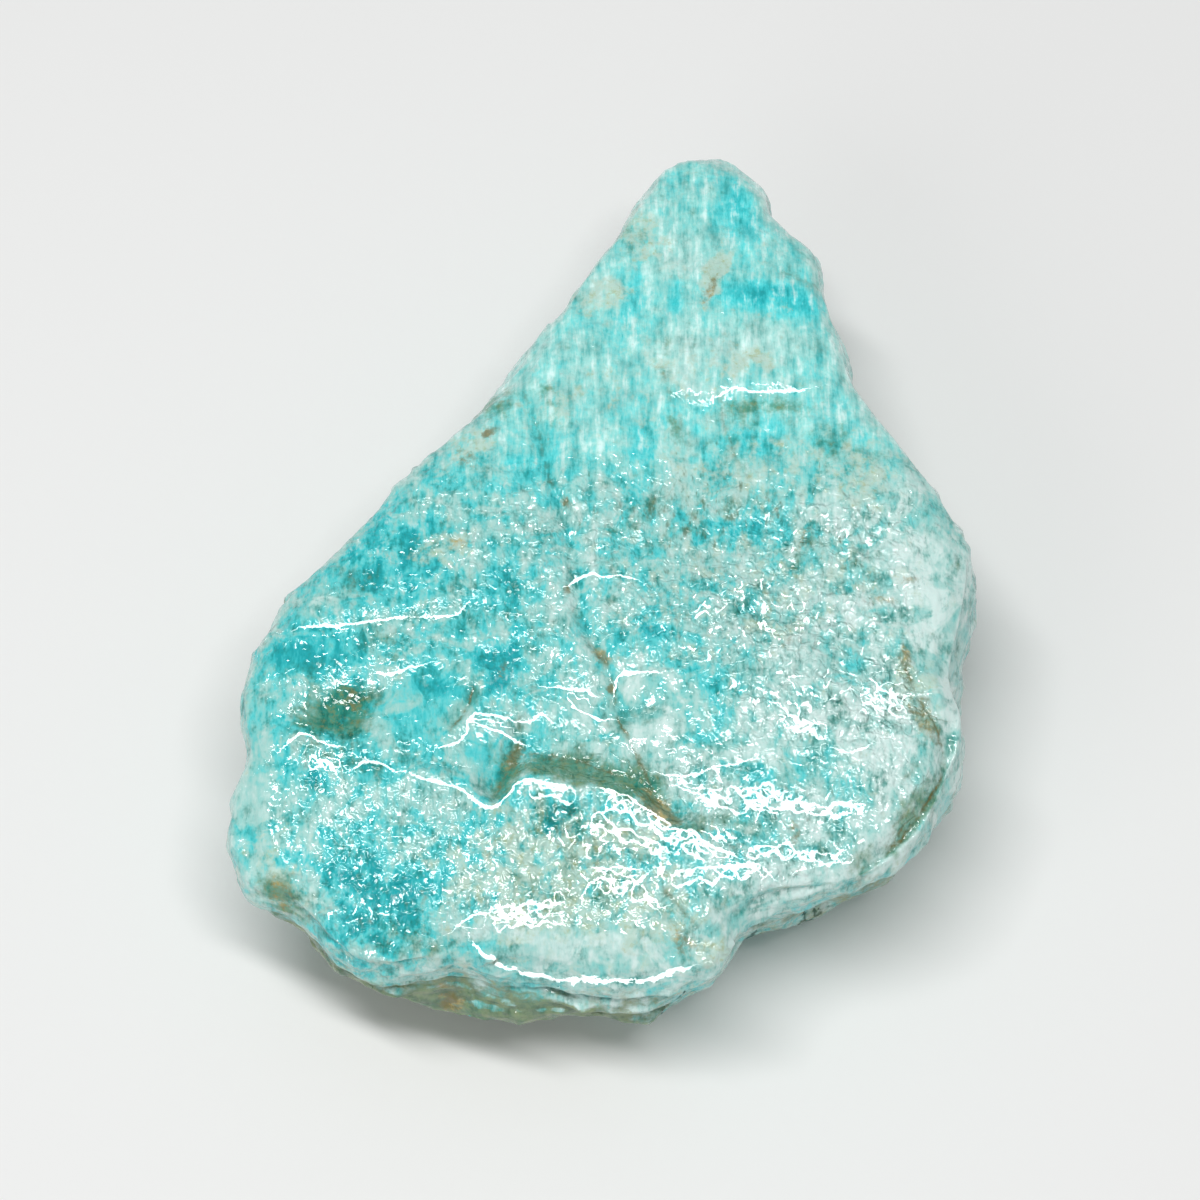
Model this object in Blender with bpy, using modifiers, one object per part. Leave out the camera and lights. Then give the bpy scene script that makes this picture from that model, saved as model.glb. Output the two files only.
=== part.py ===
"""Raw amazonite: one palm-sized cleavage slab of rough, lying on its flat back with its broad wet face up.

The stone is one solid. A blank is lofted from the face's outline through a belly to the flat back,
its rim is chipped by planes, it is remeshed and softened, and then the face's ledges, furrow, cracks,
hollows and lobes and the rim's laminae are worked into it. The back is cut flat, and the stone rests on it.

Lengths are in millimetres, and are turned into metres when the mesh is made.
Seen from above, +X is right, +Y is towards the pointed end and +Z is up, out of the broad face.
"""

import math
import random

import bmesh
import bpy
import numpy as np
from mathutils import Vector, noise

MM = 0.001

# Driving dimensions
THICKNESS = 24.0
VOXEL = 0.6
SOFTENING = 4
TRIANGLES = 8400
SMOOTH_BELOW_DEG = 26.0
CENTRE = (0.0, -6.0)
SAMPLES_PER_SPAN = 6
BACK_CUT = 0.7
PLAN_SHIFT = (-0.5, -0.6)

# The edge of the broad face, counter-clockwise from the right, seen from above
FACE_EDGE = [
    (32.4, -0.9), (31.1, 3.4), (28.8, 7.7), (26.5, 11.3), (22.9, 17.0), (21.7, 22.0),
    (20.4, 26.3), (19.7, 30.4), (17.3, 32.9), (15.6, 34.9), (15.4, 36.8), (13.9, 38.6), (11.8, 40.5),
    (9.4, 41.3), (6.3, 40.7), (4.9, 38.6), (1.4, 33.0), (-1.9, 28.3), (-6.2, 20.0), (-8.0, 17.1),
    (-14.4, 10.8), (-20.7, 3.5), (-26.5, -3.2), (-28.5, -6.7), (-31.1, -13.1), (-30.5, -18.6), (-30.8, -22.9),
    (-29.6, -29.8), (-26.3, -31.9), (-22.3, -35.8), (-18.2, -37.3), (-14.3, -36.7), (-11.8, -36.2),
    (-8.3, -36.7), (1.1, -37.8), (8.0, -36.9), (9.6, -36.2), (10.8, -33.9), (14.0, -32.1), (17.8, -31.5),
    (21.9, -30.5), (25.9, -27.5), (28.2, -24.9), (30.2, -20.4), (31.5, -16.2), (30.7, -12.0), (31.2, -9.2),
    (32.2, -4.0),
]

# How far each level of the blank lies inside the face's edge, and its height
LEVELS = [
    (6.0, 23.6), (2.6, 23.2), (0.7, 22.0), (0.0, 19.8), (0.1, 15.0), (0.0, 10.0), (2.4, 4.6), (6.5, 0.0),
]

# How far the stone's middle stands out past the face's edge, by the way it faces in degrees
BELLY = [
    (0.0, 0.2), (20.0, 0.2), (45.0, -0.4), (70.0, -2.0), (90.0, -2.4), (115.0, -1.0), (150.0, -0.6),
    (195.0, -1.4), (214.0, -2.0), (222.0, -2.2), (236.0, -1.0), (243.0, 0.7), (251.0, 3.0), (261.0, 2.1),
    (267.0, 0.6), (274.0, 0.9), (285.0, -1.0), (291.0, 0.4), (302.0, -2.2), (312.0, -4.0), (326.0, -2.0),
    (342.0, -0.1), (350.0, 0.8),
]
BELLY_HEIGHT = 9.5
BELLY_SPREAD = 6.0

# Planes that chip the rim: the way each faces, and its distance from the centre at the top and at the back
CHIPS = [
    (255.0, 48.0, 28.5), (229.0, 46.0, 29.0), (206.0, 38.6, 33.0), (184.0, 45.0, 22.0), (172.0, 31.4, 29.5),
    (149.0, 25.2, 16.6), (126.0, 35.5, 20.5), (82.0, 66.0, 19.0), (58.0, 49.0, 31.0), (31.0, 45.0, 24.0),
    (14.0, 32.6, 30.0), (353.0, 33.4, 32.4), (337.0, 42.0, 25.5), (308.0, 40.0, 24.0), (286.0, 44.0, 25.0),
]
NICKS = 30
NICK_UP_DEG = (-60.0, -12.0)
NICK_DEPTH = (0.4, 1.4)
NICK_SEED = 12


class Ledge:
    """A small step across the face. Its high side is on the left of the way its points run."""

    def __init__(self, points, height, reach, width=0.7):
        self.points = points
        self.height = height
        self.reach = reach
        self.width = width


class Groove:
    """A furrow or crack along a line."""

    def __init__(self, points, depth, width):
        self.points = points
        self.depth = depth
        self.width = width


class Swell:
    """A rounded rise of the face, or a hollow where its height is negative."""

    def __init__(self, centre, radii, turn_deg, height):
        self.centre = centre
        self.radii = radii
        self.turn_deg = turn_deg
        self.height = height


# The line across the face below which the lobe leans forward. It runs on past the stone at both ends.
CREST = [
    (-44.0, -17.0), (-22.0, -20.4), (-16.0, -21.1), (-11.0, -22.6), (-9.4, -23.9), (-6.7, -21.8),
    (-2.4, -22.3), (3.7, -23.5), (7.2, -26.2), (11.3, -29.5), (16.5, -31.6), (24.0, -36.0), (44.0, -46.0),
]
LEDGES = [
    Ledge([(5.0, 14.3), (9.8, 14.2), (13.6, 15.3), (18.4, 15.0)], 0.9, 7.0),
    Ledge([(-26.5, -7.9), (-19.0, -6.8), (-11.5, -5.5), (-7.0, -6.4)], 0.7, 5.0),
    Ledge([(-19.6, -11.9), (-16.6, -11.6), (-13.6, -10.4)], 0.6, 3.5),
    Ledge([(-13.6, -19.0), (-11.2, -17.2), (-10.2, -15.6), (-7.2, -16.7), (-4.4, -15.0)], 0.7, 3.5),
    Ledge([(-4.6, -13.0), (-1.4, -13.3), (1.1, -12.6), (3.4, -11.2), (6.4, -11.0)], 0.6, 4.0),
    Ledge([(2.4, -20.6), (6.2, -22.0), (11.5, -23.6), (21.0, -25.2), (25.5, -24.0)], 0.8, 6.0, 1.6),
    Ledge([(-13.2, -35.9), (-9.5, -34.1), (-2.4, -32.9)], 0.5, 3.0),
    Ledge([(-22.4, -20.8), (-19.2, -19.7), (-16.4, -21.0)], 0.5, 2.5),
    Ledge([(19.0, -6.5), (23.5, -8.0), (26.5, -12.5), (28.6, -17.0)], 0.5, 4.0),
    Ledge([(-1.6, -31.4), (0.4, -29.6), (3.6, -30.4), (6.4, -32.6)], 0.5, 3.0),
]
GROOVES = [
    Groove([(-9.8, -24.6), (-8.0, -20.9), (-6.6, -18.4), (-3.2, -19.4), (3.2, -21.6), (7.9, -26.0)], 1.3, 1.7),
    Groove([(-6.6, 15.6), (-4.4, 6.4), (-2.8, 1.4), (-1.5, -7.2), (1.1, -12.8), (2.6, -17.8)], 0.5, 0.7),
    Groove([(29.3, -15.5), (29.2, -21.0), (25.0, -27.2), (20.6, -30.6)], 0.8, 0.9),
    Groove([(4.0, -31.9), (6.2, -33.6), (8.8, -36.0)], 0.6, 0.7),
    Groove([(-10.3, -12.6), (-11.1, -15.0), (-13.4, -17.4)], 0.5, 0.7),
]
SWELLS = [
    Swell((-21.4, -15.0), (3.6, 2.4), 20.0, -1.1),
    Swell((13.0, -14.0), (10.5, 7.5), -18.0, 1.1),
    Swell((-20.0, -27.5), (7.0, 5.5), 10.0, 0.5),
    Swell((10.0, 6.0), (8.0, 5.0), 60.0, -0.45),
    Swell((-8.0, 3.0), (5.0, 9.0), 30.0, 0.5),
    Swell((2.0, -34.0), (9.0, 3.2), 0.0, 0.6),
    Swell((-16.0, -35.4), (4.2, 1.8), -20.0, -0.5),
    Swell((12.0, 26.0), (5.0, 9.0), -15.0, 0.5),
]
DOME_CENTRE = -4.0
DOME_FALL = 0.0013
LOBE_SLOPE = 0.13
LOBE_START = 3.0
CREST_RISE = 0.5
CREST_WIDTH = 1.1
CREST_REACH = (18.0, 13.0)
LEDGE_TAPER = 3.0
GROOVE_TAPER = 2.0

# Where the surface counts as face or back, by its normal's height, and where the rim smooths out at the tip
FACE_NORMAL = (0.35, 0.85)
BACK_NORMAL = (0.5, 0.9)
TIP_Y = (40.0, 30.0)
FALL_FROM = 0.3 * THICKNESS

# The rim's broken layers: their heights, how far each steps, how they wave and where they fade
LAMINA_HEIGHTS = [4.0, 8.6, 13.2, 17.4]
LAMINA_STEP = 0.8
LAMINA_EDGE = 0.5
WAVE_SIZE = 14.0
WAVE_HEIGHT = 3.0
FADE_SIZE = 16.0
FADE = (-0.2, 0.3)

# Sizes of the roughness, and how far each kind moves the rim, the face and the back
LUMP_SIZE = 12.0
BREAK_SIZE = 9.0
HOLLOW_SIZE = 7.0
CHIP_SIZE = 4.2
GRAIN_SIZE = 2.6
RIM_LUMPS, RIM_BREAKS, RIM_CHIPS, RIM_GRAIN = 0.5, 1.5, 0.6, 0.15
FACE_LUMPS, FACE_CHIPS, FACE_GRAIN = 0.25, 0.3, 0.1
BACK_HOLLOWS, BACK_CHIPS = 1.7, 0.3
RIM_SETBACK = 0.6


def smoothstep(low, high, value):
    t = np.clip((value - low) / (high - low), 0.0, 1.0)
    return t * t * (3.0 - 2.0 * t)


def closed_curve(points, samples):
    """Points on a smooth closed curve through the given ones (Catmull-Rom)."""
    p = np.array(points, float)
    before, after, beyond = np.roll(p, 1, 0), np.roll(p, -1, 0), np.roll(p, -2, 0)
    rows = []
    for t in np.arange(samples) / samples:
        rows.append(0.5 * (
            2.0 * p + (after - before) * t
            + (2.0 * before - 5.0 * p + 4.0 * after - beyond) * t**2
            + (3.0 * p - before - 3.0 * after + beyond) * t**3
        ))
    return np.stack(rows, 1).reshape(-1, 2)


def side_of(points, x, y):
    """Distance from a line of points, positive on its left, and how far its nearest point is from an end."""
    p = np.array(points, float)
    lengths = np.hypot(*(p[1:] - p[:-1]).T)
    run = np.concatenate([[0.0], np.cumsum(lengths)])
    nearest = np.full(x.shape, 1e9)
    signed = np.zeros(x.shape)
    from_end = np.zeros(x.shape)
    for (ax, ay), (bx, by), length, start in zip(p[:-1], p[1:], lengths, run):
        ux, uy = (bx - ax) / length, (by - ay) / length
        along = np.clip((x - ax) * ux + (y - ay) * uy, 0.0, length)
        distance = np.hypot(x - ax - along * ux, y - ay - along * uy)
        left = np.where(ux * (y - ay) - uy * (x - ax) >= 0.0, 1.0, -1.0)
        closer = distance < nearest
        nearest = np.where(closer, distance, nearest)
        signed = np.where(closer, distance * left, signed)
        from_end = np.where(closer, np.minimum(start + along, run[-1] - start - along), from_end)
    return signed, from_end


def ledge_height(ledge, x, y):
    side, from_end = side_of(ledge.points, x, y)
    taper = smoothstep(0.0, LEDGE_TAPER, from_end)
    high = smoothstep(-ledge.width / 2, ledge.width / 2, side)
    lip = high * np.exp(-((np.maximum(side, 0.0) / ledge.reach) ** 2))
    foot = (1.0 - high) * np.exp(-((np.minimum(side, 0.0) / (0.6 * ledge.reach)) ** 2))
    return ledge.height * taper * (0.55 * lip - 0.45 * foot)


def groove_height(groove, x, y):
    side, from_end = side_of(groove.points, x, y)
    return -groove.depth * smoothstep(0.0, GROOVE_TAPER, from_end) * np.exp(-((side / groove.width) ** 2))


def swell_height(swell, x, y):
    turn = math.radians(swell.turn_deg)
    dx, dy = x - swell.centre[0], y - swell.centre[1]
    u = (dx * math.cos(turn) + dy * math.sin(turn)) / swell.radii[0]
    v = (dy * math.cos(turn) - dx * math.sin(turn)) / swell.radii[1]
    return swell.height * np.exp(-(u * u + v * v))


def face_fall(x, y):
    """How far the stone's broad side falls away towards both ends and over the lower lobe."""
    below_crest, _ = side_of(CREST, x, y)
    lower = smoothstep(0.0, LOBE_START, -below_crest)
    return -DOME_FALL * (y - DOME_CENTRE) ** 2 - LOBE_SLOPE * np.maximum(-below_crest, 0.0) * lower


def face_relief(x, y):
    """How far the broad face's ledges, furrows and swells stand out, in millimetres."""
    beside_crest, _ = side_of(CREST, x, y)
    height = CREST_RISE * np.exp(-((beside_crest / CREST_WIDTH) ** 2)) * smoothstep(*CREST_REACH, np.abs(x))
    for ledge in LEDGES:
        height = height + ledge_height(ledge, x, y)
    for groove in GROOVES:
        height = height + groove_height(groove, x, y)
    for swell in SWELLS:
        height = height + swell_height(swell, x, y)
    return height


def rough(points, size, octaves, seed):
    """Fractal noise of about -1 to 1 at each point, with lumps of this size in millimetres."""
    offset = Vector((seed * 17.3, seed * 5.1, seed * 9.7))
    return np.array([
        noise.fractal(Vector(p) / size + offset, 0.9, 2.1, octaves, noise_basis="PERLIN_ORIGINAL")
        for p in points
    ])


def scoops(points, size, seed):
    """Shallow chipped hollows of this size in millimetres that meet in ridges: 0 in a hollow, 1 on a ridge."""
    offset = Vector((seed * 11.9, seed * 3.7, seed * 7.3))
    half = Vector((0.5, 0.5, 0.5))
    heights = []
    for p in points:
        at = Vector(p) / size + offset
        distances, centres = noise.voronoi(at)
        heights.append(min(
            distance * distance + (at - centre).dot(noise.cell_vector(centre * 13.7) - half) * 0.9
            for distance, centre in zip(distances, centres)
        ))
    return np.array(heights) - 0.15


def blank():
    """The lofted blank: one ring of points for each level, joined by quads, with flat ends."""
    edge = closed_curve(FACE_EDGE, SAMPLES_PER_SPAN) - np.array(CENTRE)
    radius = np.hypot(edge[:, 0], edge[:, 1])
    direction = edge / radius[:, None]
    angle = np.degrees(np.arctan2(direction[:, 1], direction[:, 0]))
    belly = np.interp(angle, *zip(*BELLY), period=360.0)
    bm = bmesh.new()
    rings = []
    for inset, height in LEVELS:
        out = belly * math.exp(-(((height - BELLY_HEIGHT) / BELLY_SPREAD) ** 2))
        ring = direction * (radius - inset + out)[:, None] + np.array(CENTRE)
        rings.append([bm.verts.new((px * MM, py * MM, height * MM)) for px, py in ring])
    for upper, lower in zip(rings[:-1], rings[1:]):
        for i in range(len(upper)):
            j = (i + 1) % len(upper)
            bm.faces.new((upper[i], lower[i], lower[j], upper[j]))
    bm.faces.new(rings[0])
    bm.faces.new(reversed(rings[-1]))
    bmesh.ops.recalc_face_normals(bm, faces=bm.faces)
    return bm


def cut(bm, point, normal):
    """Takes off what lies beyond the plane, and closes the cut with a flat face."""
    geometry = bm.verts[:] + bm.edges[:] + bm.faces[:]
    bmesh.ops.bisect_plane(
        bm, geom=geometry, dist=1e-6, plane_co=point, plane_no=normal, clear_outer=True, clear_inner=False
    )
    open_edges = [edge for edge in bm.edges if edge.is_boundary]
    bmesh.ops.holes_fill(bm, edges=open_edges)


def chip_rim(bm):
    for facing_deg, at_face, at_back in CHIPS:
        facing = math.radians(facing_deg)
        outward = Vector((math.cos(facing), math.sin(facing), 0.0))
        back_point = Vector((*CENTRE, 0.0)) + outward * at_back
        normal = (outward * THICKNESS + Vector((0.0, 0.0, at_back - at_face))).normalized()
        cut(bm, back_point * MM, normal)


def nick_rim(bm):
    """Small flats where something sticks out of the rim, mostly on its underside."""
    chance = random.Random(NICK_SEED)
    for number in range(NICKS):
        facing = math.radians((number + chance.random()) * 360.0 / NICKS)
        up = math.radians(chance.uniform(*NICK_UP_DEG))
        normal = Vector((math.cos(facing) * math.cos(up), math.sin(facing) * math.cos(up), math.sin(up)))
        furthest = max(vert.co.dot(normal) for vert in bm.verts)
        cut(bm, normal * (furthest - chance.uniform(*NICK_DEPTH) * MM), normal)


def evaluated_mesh(obj):
    """A new mesh of the object as its modifiers leave it."""
    graph = bpy.context.evaluated_depsgraph_get()
    graph.update()
    return bpy.data.meshes.new_from_object(obj.evaluated_get(graph))


def add_object(name, mesh, collection):
    obj = bpy.data.objects.new(name, mesh)
    collection.objects.link(obj)
    return obj


def soften(mesh, collection):
    """An even mesh over the chipped blank, with its corners rubbed down."""
    obj = add_object("blank", mesh, collection)
    remesh = obj.modifiers.new("even_faces", "REMESH")
    remesh.mode = "VOXEL"
    remesh.voxel_size = VOXEL * MM
    smooth = obj.modifiers.new("rubbed_corners", "SMOOTH")
    smooth.factor = 0.5
    smooth.iterations = SOFTENING
    made = evaluated_mesh(obj)
    bpy.data.objects.remove(obj)
    return made


def work_surface(mesh):
    """Works the face's relief, the rim's laminae and the broken roughness into the softened blank."""
    count = len(mesh.vertices)
    at = np.empty(count * 3)
    mesh.vertices.foreach_get("co", at)
    at = at.reshape(-1, 3) / MM
    normals = np.empty(count * 3)
    mesh.vertices.foreach_get("normal", normals)
    normals = normals.reshape(-1, 3)
    x, y, z = at.T

    on_face = smoothstep(*FACE_NORMAL, normals[:, 2])
    on_back = smoothstep(*BACK_NORMAL, -normals[:, 2])
    on_rim = np.clip(1.0 - on_face - on_back, 0.0, 1.0)

    lumps = rough(at, LUMP_SIZE, 3, 1)
    grain = rough(at, GRAIN_SIZE, 3, 2)
    breaks = scoops(at, BREAK_SIZE, 4)
    chips = scoops(at, CHIP_SIZE, 5)
    hollows = rough(at, HOLLOW_SIZE, 2, 7)

    layer = z + WAVE_HEIGHT * rough(at, WAVE_SIZE, 2, 3)
    layered = smoothstep(*FADE, rough(at, FADE_SIZE, 1, 6))
    steps = -layer * len(LAMINA_HEIGHTS) / THICKNESS
    for height in LAMINA_HEIGHTS:
        steps += smoothstep(-LAMINA_EDGE, LAMINA_EDGE, layer - height)

    rim = LAMINA_STEP * layered * steps - RIM_SETBACK
    rim += RIM_LUMPS * lumps + RIM_BREAKS * breaks + RIM_CHIPS * chips + RIM_GRAIN * grain
    sideways = on_rim * smoothstep(*TIP_Y, y) * rim

    lifted = face_fall(x, y) * smoothstep(FALL_FROM, THICKNESS, z)
    lifted += on_face * (face_relief(x, y) + FACE_LUMPS * lumps + FACE_CHIPS * chips + FACE_GRAIN * grain)
    lifted += on_back * (BACK_HOLLOWS * hollows + BACK_CHIPS * chips)
    at = at + normals * sideways[:, None]
    at[:, 2] += lifted
    mesh.vertices.foreach_set("co", (at * MM).ravel())
    mesh.update()


def thinned(mesh, collection):
    """The worked surface with its triangles kept for where it bends."""
    obj = add_object("worked", mesh, collection)
    smooth = obj.modifiers.new("rubbed_edges", "SMOOTH")
    smooth.factor = 0.5
    smooth.iterations = 1
    decimate = obj.modifiers.new("fewer_faces", "DECIMATE")
    decimate.ratio = TRIANGLES / sum(len(face.vertices) - 2 for face in mesh.polygons)
    decimate.use_collapse_triangulate = True
    made = evaluated_mesh(obj)
    bpy.data.objects.remove(obj)
    return made


def cut_back_flat(mesh):
    """Takes the back off flat a little above its lowest point, so that the stone rests on it at height 0."""
    bm = bmesh.new()
    bm.from_mesh(mesh)
    base = BACK_CUT * MM
    down = Vector((0.0, 0.0, -1.0))
    bmesh.ops.bisect_plane(
        bm, geom=bm.verts[:] + bm.edges[:] + bm.faces[:], dist=1e-6,
        plane_co=Vector((0.0, 0.0, base)), plane_no=down, clear_outer=True, clear_inner=False
    )
    open_edges = [edge for edge in bm.edges if edge.is_boundary]
    bmesh.ops.triangle_fill(bm, edges=open_edges, use_beauty=True, use_dissolve=False, normal=down)
    bmesh.ops.translate(bm, verts=bm.verts, vec=Vector((PLAN_SHIFT[0] * MM, PLAN_SHIFT[1] * MM, -base)))
    bmesh.ops.triangulate(bm, faces=bm.faces)
    bm.to_mesh(mesh)
    bm.free()


def amazonite_material():
    material = bpy.data.materials.new("wet_amazonite")
    material.use_nodes = True
    shader = material.node_tree.nodes["Principled BSDF"]
    shader.inputs["Base Color"].default_value = (0.22, 0.62, 0.60, 1.0)
    shader.inputs["Roughness"].default_value = 0.35
    shader.inputs["Metallic"].default_value = 0.0
    return material


def main():
    for obj in list(bpy.data.objects):
        bpy.data.objects.remove(obj)
    collection = bpy.data.collections.new("raw_amazonite")
    bpy.context.scene.collection.children.link(collection)

    bm = blank()
    chip_rim(bm)
    nick_rim(bm)
    chipped = bpy.data.meshes.new("chipped")
    bm.to_mesh(chipped)
    bm.free()

    worked = soften(chipped, collection)
    work_surface(worked)
    mesh = thinned(worked, collection)
    cut_back_flat(mesh)
    stone = add_object("amazonite_stone", mesh, collection)
    mesh.shade_smooth()
    mesh.set_sharp_from_angle(angle=math.radians(SMOOTH_BELOW_DEG))
    mesh.materials.clear()
    mesh.materials.append(amazonite_material())
    return stone


main()
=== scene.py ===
"""Looks for the raw amazonite: the stone worked finer than the solid, and wet, on a pale floor."""

import math
import random
from collections import namedtuple
from types import SimpleNamespace

import bmesh
import bpy
import numpy as np
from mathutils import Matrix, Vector, noise


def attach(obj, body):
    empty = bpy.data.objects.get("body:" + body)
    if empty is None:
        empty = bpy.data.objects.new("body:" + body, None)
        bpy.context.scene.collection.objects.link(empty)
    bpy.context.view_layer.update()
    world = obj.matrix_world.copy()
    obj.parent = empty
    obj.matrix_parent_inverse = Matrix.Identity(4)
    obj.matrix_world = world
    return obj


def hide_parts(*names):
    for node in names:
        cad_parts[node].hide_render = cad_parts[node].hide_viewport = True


MM = 0.001

# Driving dimensions, in millimetres
THICKNESS = 24.0
VOXEL = 0.27
SOFTENING = 18
TRIANGLES = 192000
CENTRE = (0.0, -6.0)
SAMPLES_PER_SPAN = 6
BACK_CUT = 0.7
PLAN_SHIFT = (-0.5, -0.6)

# The edge of the broad face, counter-clockwise from the right, seen from above
FACE_EDGE = [
    (32.4, -0.9), (31.1, 3.4), (28.8, 7.7), (26.5, 11.3), (22.9, 17), (21.7, 22), (20.4, 26.3),
    (19.7, 30.4), (17.3, 32.9), (15.6, 34.9), (15.4, 36.8), (13.9, 38.6), (11.8, 40.5), (9.4, 41.3),
    (6.3, 40.7), (4.9, 38.6), (1.4, 33), (-1.9, 28.3), (-6.2, 20), (-8, 17.1), (-14.4, 10.8),
    (-20.7, 3.5), (-26.5, -3.2), (-28.5, -6.7), (-31.1, -13.1), (-30.5, -18.6), (-30.8, -22.9),
    (-29.6, -29.8), (-26.3, -31.9), (-22.3, -35.8), (-18.2, -37.3), (-14.3, -36.7), (-11.8, -36.2),
    (-8.3, -36.7), (1.1, -37.8), (8, -36.9), (9.6, -36.2), (10.8, -33.9), (14, -32.1),
    (17.8, -31.5), (21.9, -30.5), (25.9, -27.5), (28.2, -24.9), (30.2, -20.4), (31.5, -16.2),
    (30.7, -12), (31.2, -9.2), (32.2, -4),
]

# How far each level of the blank lies inside the face's edge, and its height
LEVELS = [
    (6, 23.6), (2.6, 23.2), (0.7, 22), (0, 19.8), (0.1, 15), (0, 10), (2.4, 4.6), (6.5, 0),
]

# How far the stone's middle stands out past the face's edge, by the way it faces in degrees
BELLY = [
    (0, 0.2), (20, 0.2), (45, -0.4), (70, -2), (90, -2.4), (115, -1), (150, -0.6), (195, -1.4),
    (214, -2), (222, -2.2), (236, -1), (243, 0.7), (251, 3), (261, 2.1), (267, 0.6), (274, 0.9),
    (285, -1), (291, 0.4), (302, -2.2), (312, -4), (326, -2), (342, -0.1), (350, 0.8),
]
BELLY_HEIGHT = 9.5
BELLY_SPREAD = 6.0

# Planes that chip the rim: the way each faces, and how far out it is at the top and at the back
CHIPS = [
    (255, 48, 28.5), (229, 46, 29), (206, 38.6, 33), (184, 45, 22), (172, 31.4, 29.5),
    (149, 25.2, 16.6), (126, 35.5, 20.5), (82, 66, 19), (58, 49, 31), (31, 45, 24), (14, 32.6, 30),
    (353, 33.4, 32.4), (337, 42, 25.5), (308, 40, 24), (286, 44, 25),
]
NICKS = 30
NICK_UP_DEG = (-60.0, -12.0)
NICK_DEPTH = (0.4, 1.4)
NICK_SEED = 12

# A small step across the face. Its high side is on the left of the way its points run.
Ledge = namedtuple("Ledge", "points height reach width", defaults=(0.7,))
# A furrow or crack along a line
Groove = namedtuple("Groove", "points depth width")
# A rounded rise of the face, or a hollow where its height is negative
Swell = namedtuple("Swell", "centre radii turn_deg height")

# The line across the face below which the lobe leans forward. It runs past the stone at both ends.
CREST = [
    (-44, -17), (-22, -20.4), (-16, -21.1), (-11, -22.6), (-9.4, -23.9), (-6.7, -21.8),
    (-2.4, -22.3), (3.7, -23.5), (7.2, -26.2), (11.3, -29.5), (16.5, -31.6), (24, -36), (44, -46),
]
LEDGES = [
    Ledge([(5, 14.3), (9.8, 14.2), (13.6, 15.3), (18.4, 15)], 0.9, 7),
    Ledge([(-26.5, -7.9), (-19, -6.8), (-11.5, -5.5), (-7, -6.4)], 0.7, 5),
    Ledge([(-19.6, -11.9), (-16.6, -11.6), (-13.6, -10.4)], 0.6, 3.5),
    Ledge([(-13.6, -19), (-11.2, -17.2), (-10.2, -15.6), (-7.2, -16.7), (-4.4, -15)], 0.7, 3.5),
    Ledge([(-4.6, -13), (-1.4, -13.3), (1.1, -12.6), (3.4, -11.2), (6.4, -11)], 0.6, 4),
    Ledge([(2.4, -20.6), (6.2, -22), (11.5, -23.6), (21, -25.2), (25.5, -24)], 0.8, 6, 1.6),
    Ledge([(-13.2, -35.9), (-9.5, -34.1), (-2.4, -32.9)], 0.5, 3),
    Ledge([(-22.4, -20.8), (-19.2, -19.7), (-16.4, -21)], 0.5, 2.5),
    Ledge([(19, -6.5), (23.5, -8), (26.5, -12.5), (28.6, -17)], 0.5, 4),
    Ledge([(-1.6, -31.4), (0.4, -29.6), (3.6, -30.4), (6.4, -32.6)], 0.5, 3),
]
GROOVES = [
    Groove([
        (-9.8, -24.6), (-8, -20.9), (-6.6, -18.4), (-3.2, -19.4), (3.2, -21.6), (7.9, -26),
    ], 1.3, 1.7),
    Groove([
        (-6.6, 15.6), (-4.4, 6.4), (-2.8, 1.4), (-1.5, -7.2), (1.1, -12.8), (2.6, -17.8),
    ], 0.5, 0.7),
    Groove([(29.3, -15.5), (29.2, -21), (25, -27.2), (20.6, -30.6)], 0.8, 0.9),
    Groove([(4, -31.9), (6.2, -33.6), (8.8, -36)], 0.6, 0.7),
    Groove([(-10.3, -12.6), (-11.1, -15), (-13.4, -17.4)], 0.5, 0.7),
]
SWELLS = [
    Swell((-21.4, -15), (3.6, 2.4), 20, -1.1),
    Swell((13, -14), (10.5, 7.5), -18, 1.1),
    Swell((-20, -27.5), (7, 5.5), 10, 0.5),
    Swell((10, 6), (8, 5), 60, -0.45),
    Swell((-8, 3), (5, 9), 30, 0.5),
    Swell((2, -34), (9, 3.2), 0, 0.6),
    Swell((-16, -35.4), (4.2, 1.8), -20, -0.5),
    Swell((12, 26), (5, 9), -15, 0.5),
]
DOME_CENTRE = -4.0
DOME_FALL = 0.0013
LOBE_SLOPE = 0.13
LOBE_START = 3.0
CREST_RISE = 0.5
CREST_WIDTH = 1.1
CREST_REACH = (18.0, 13.0)
LEDGE_TAPER = 3.0
LIP_SHARE, FOOT_SHARE = 0.55, 0.45
FOOT_REACH = 0.6
WORN_HEIGHT = 0.5
WORN_WIDTH = 2.0
GROOVE_TAPER = 2.0

# Where the surface counts as face or back, by its normal's height, and where the tip smooths
FACE_NORMAL = (0.35, 0.85)
BACK_NORMAL = (0.5, 0.9)
TIP_Y = (40.0, 30.0)
FALL_FROM = 0.3 * THICKNESS

# The rim's broken layers: their heights, how far each steps, how they wave and where they fade
LAMINA_HEIGHTS = [4.0, 8.6, 13.2, 17.4]
LAMINA_STEP = 0.8
LAMINA_EDGE = 0.5
WAVE_SIZE = 14.0
WAVE_HEIGHT = 3.0
FADE_SIZE = 16.0
FADE = (-0.2, 0.3)

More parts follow.
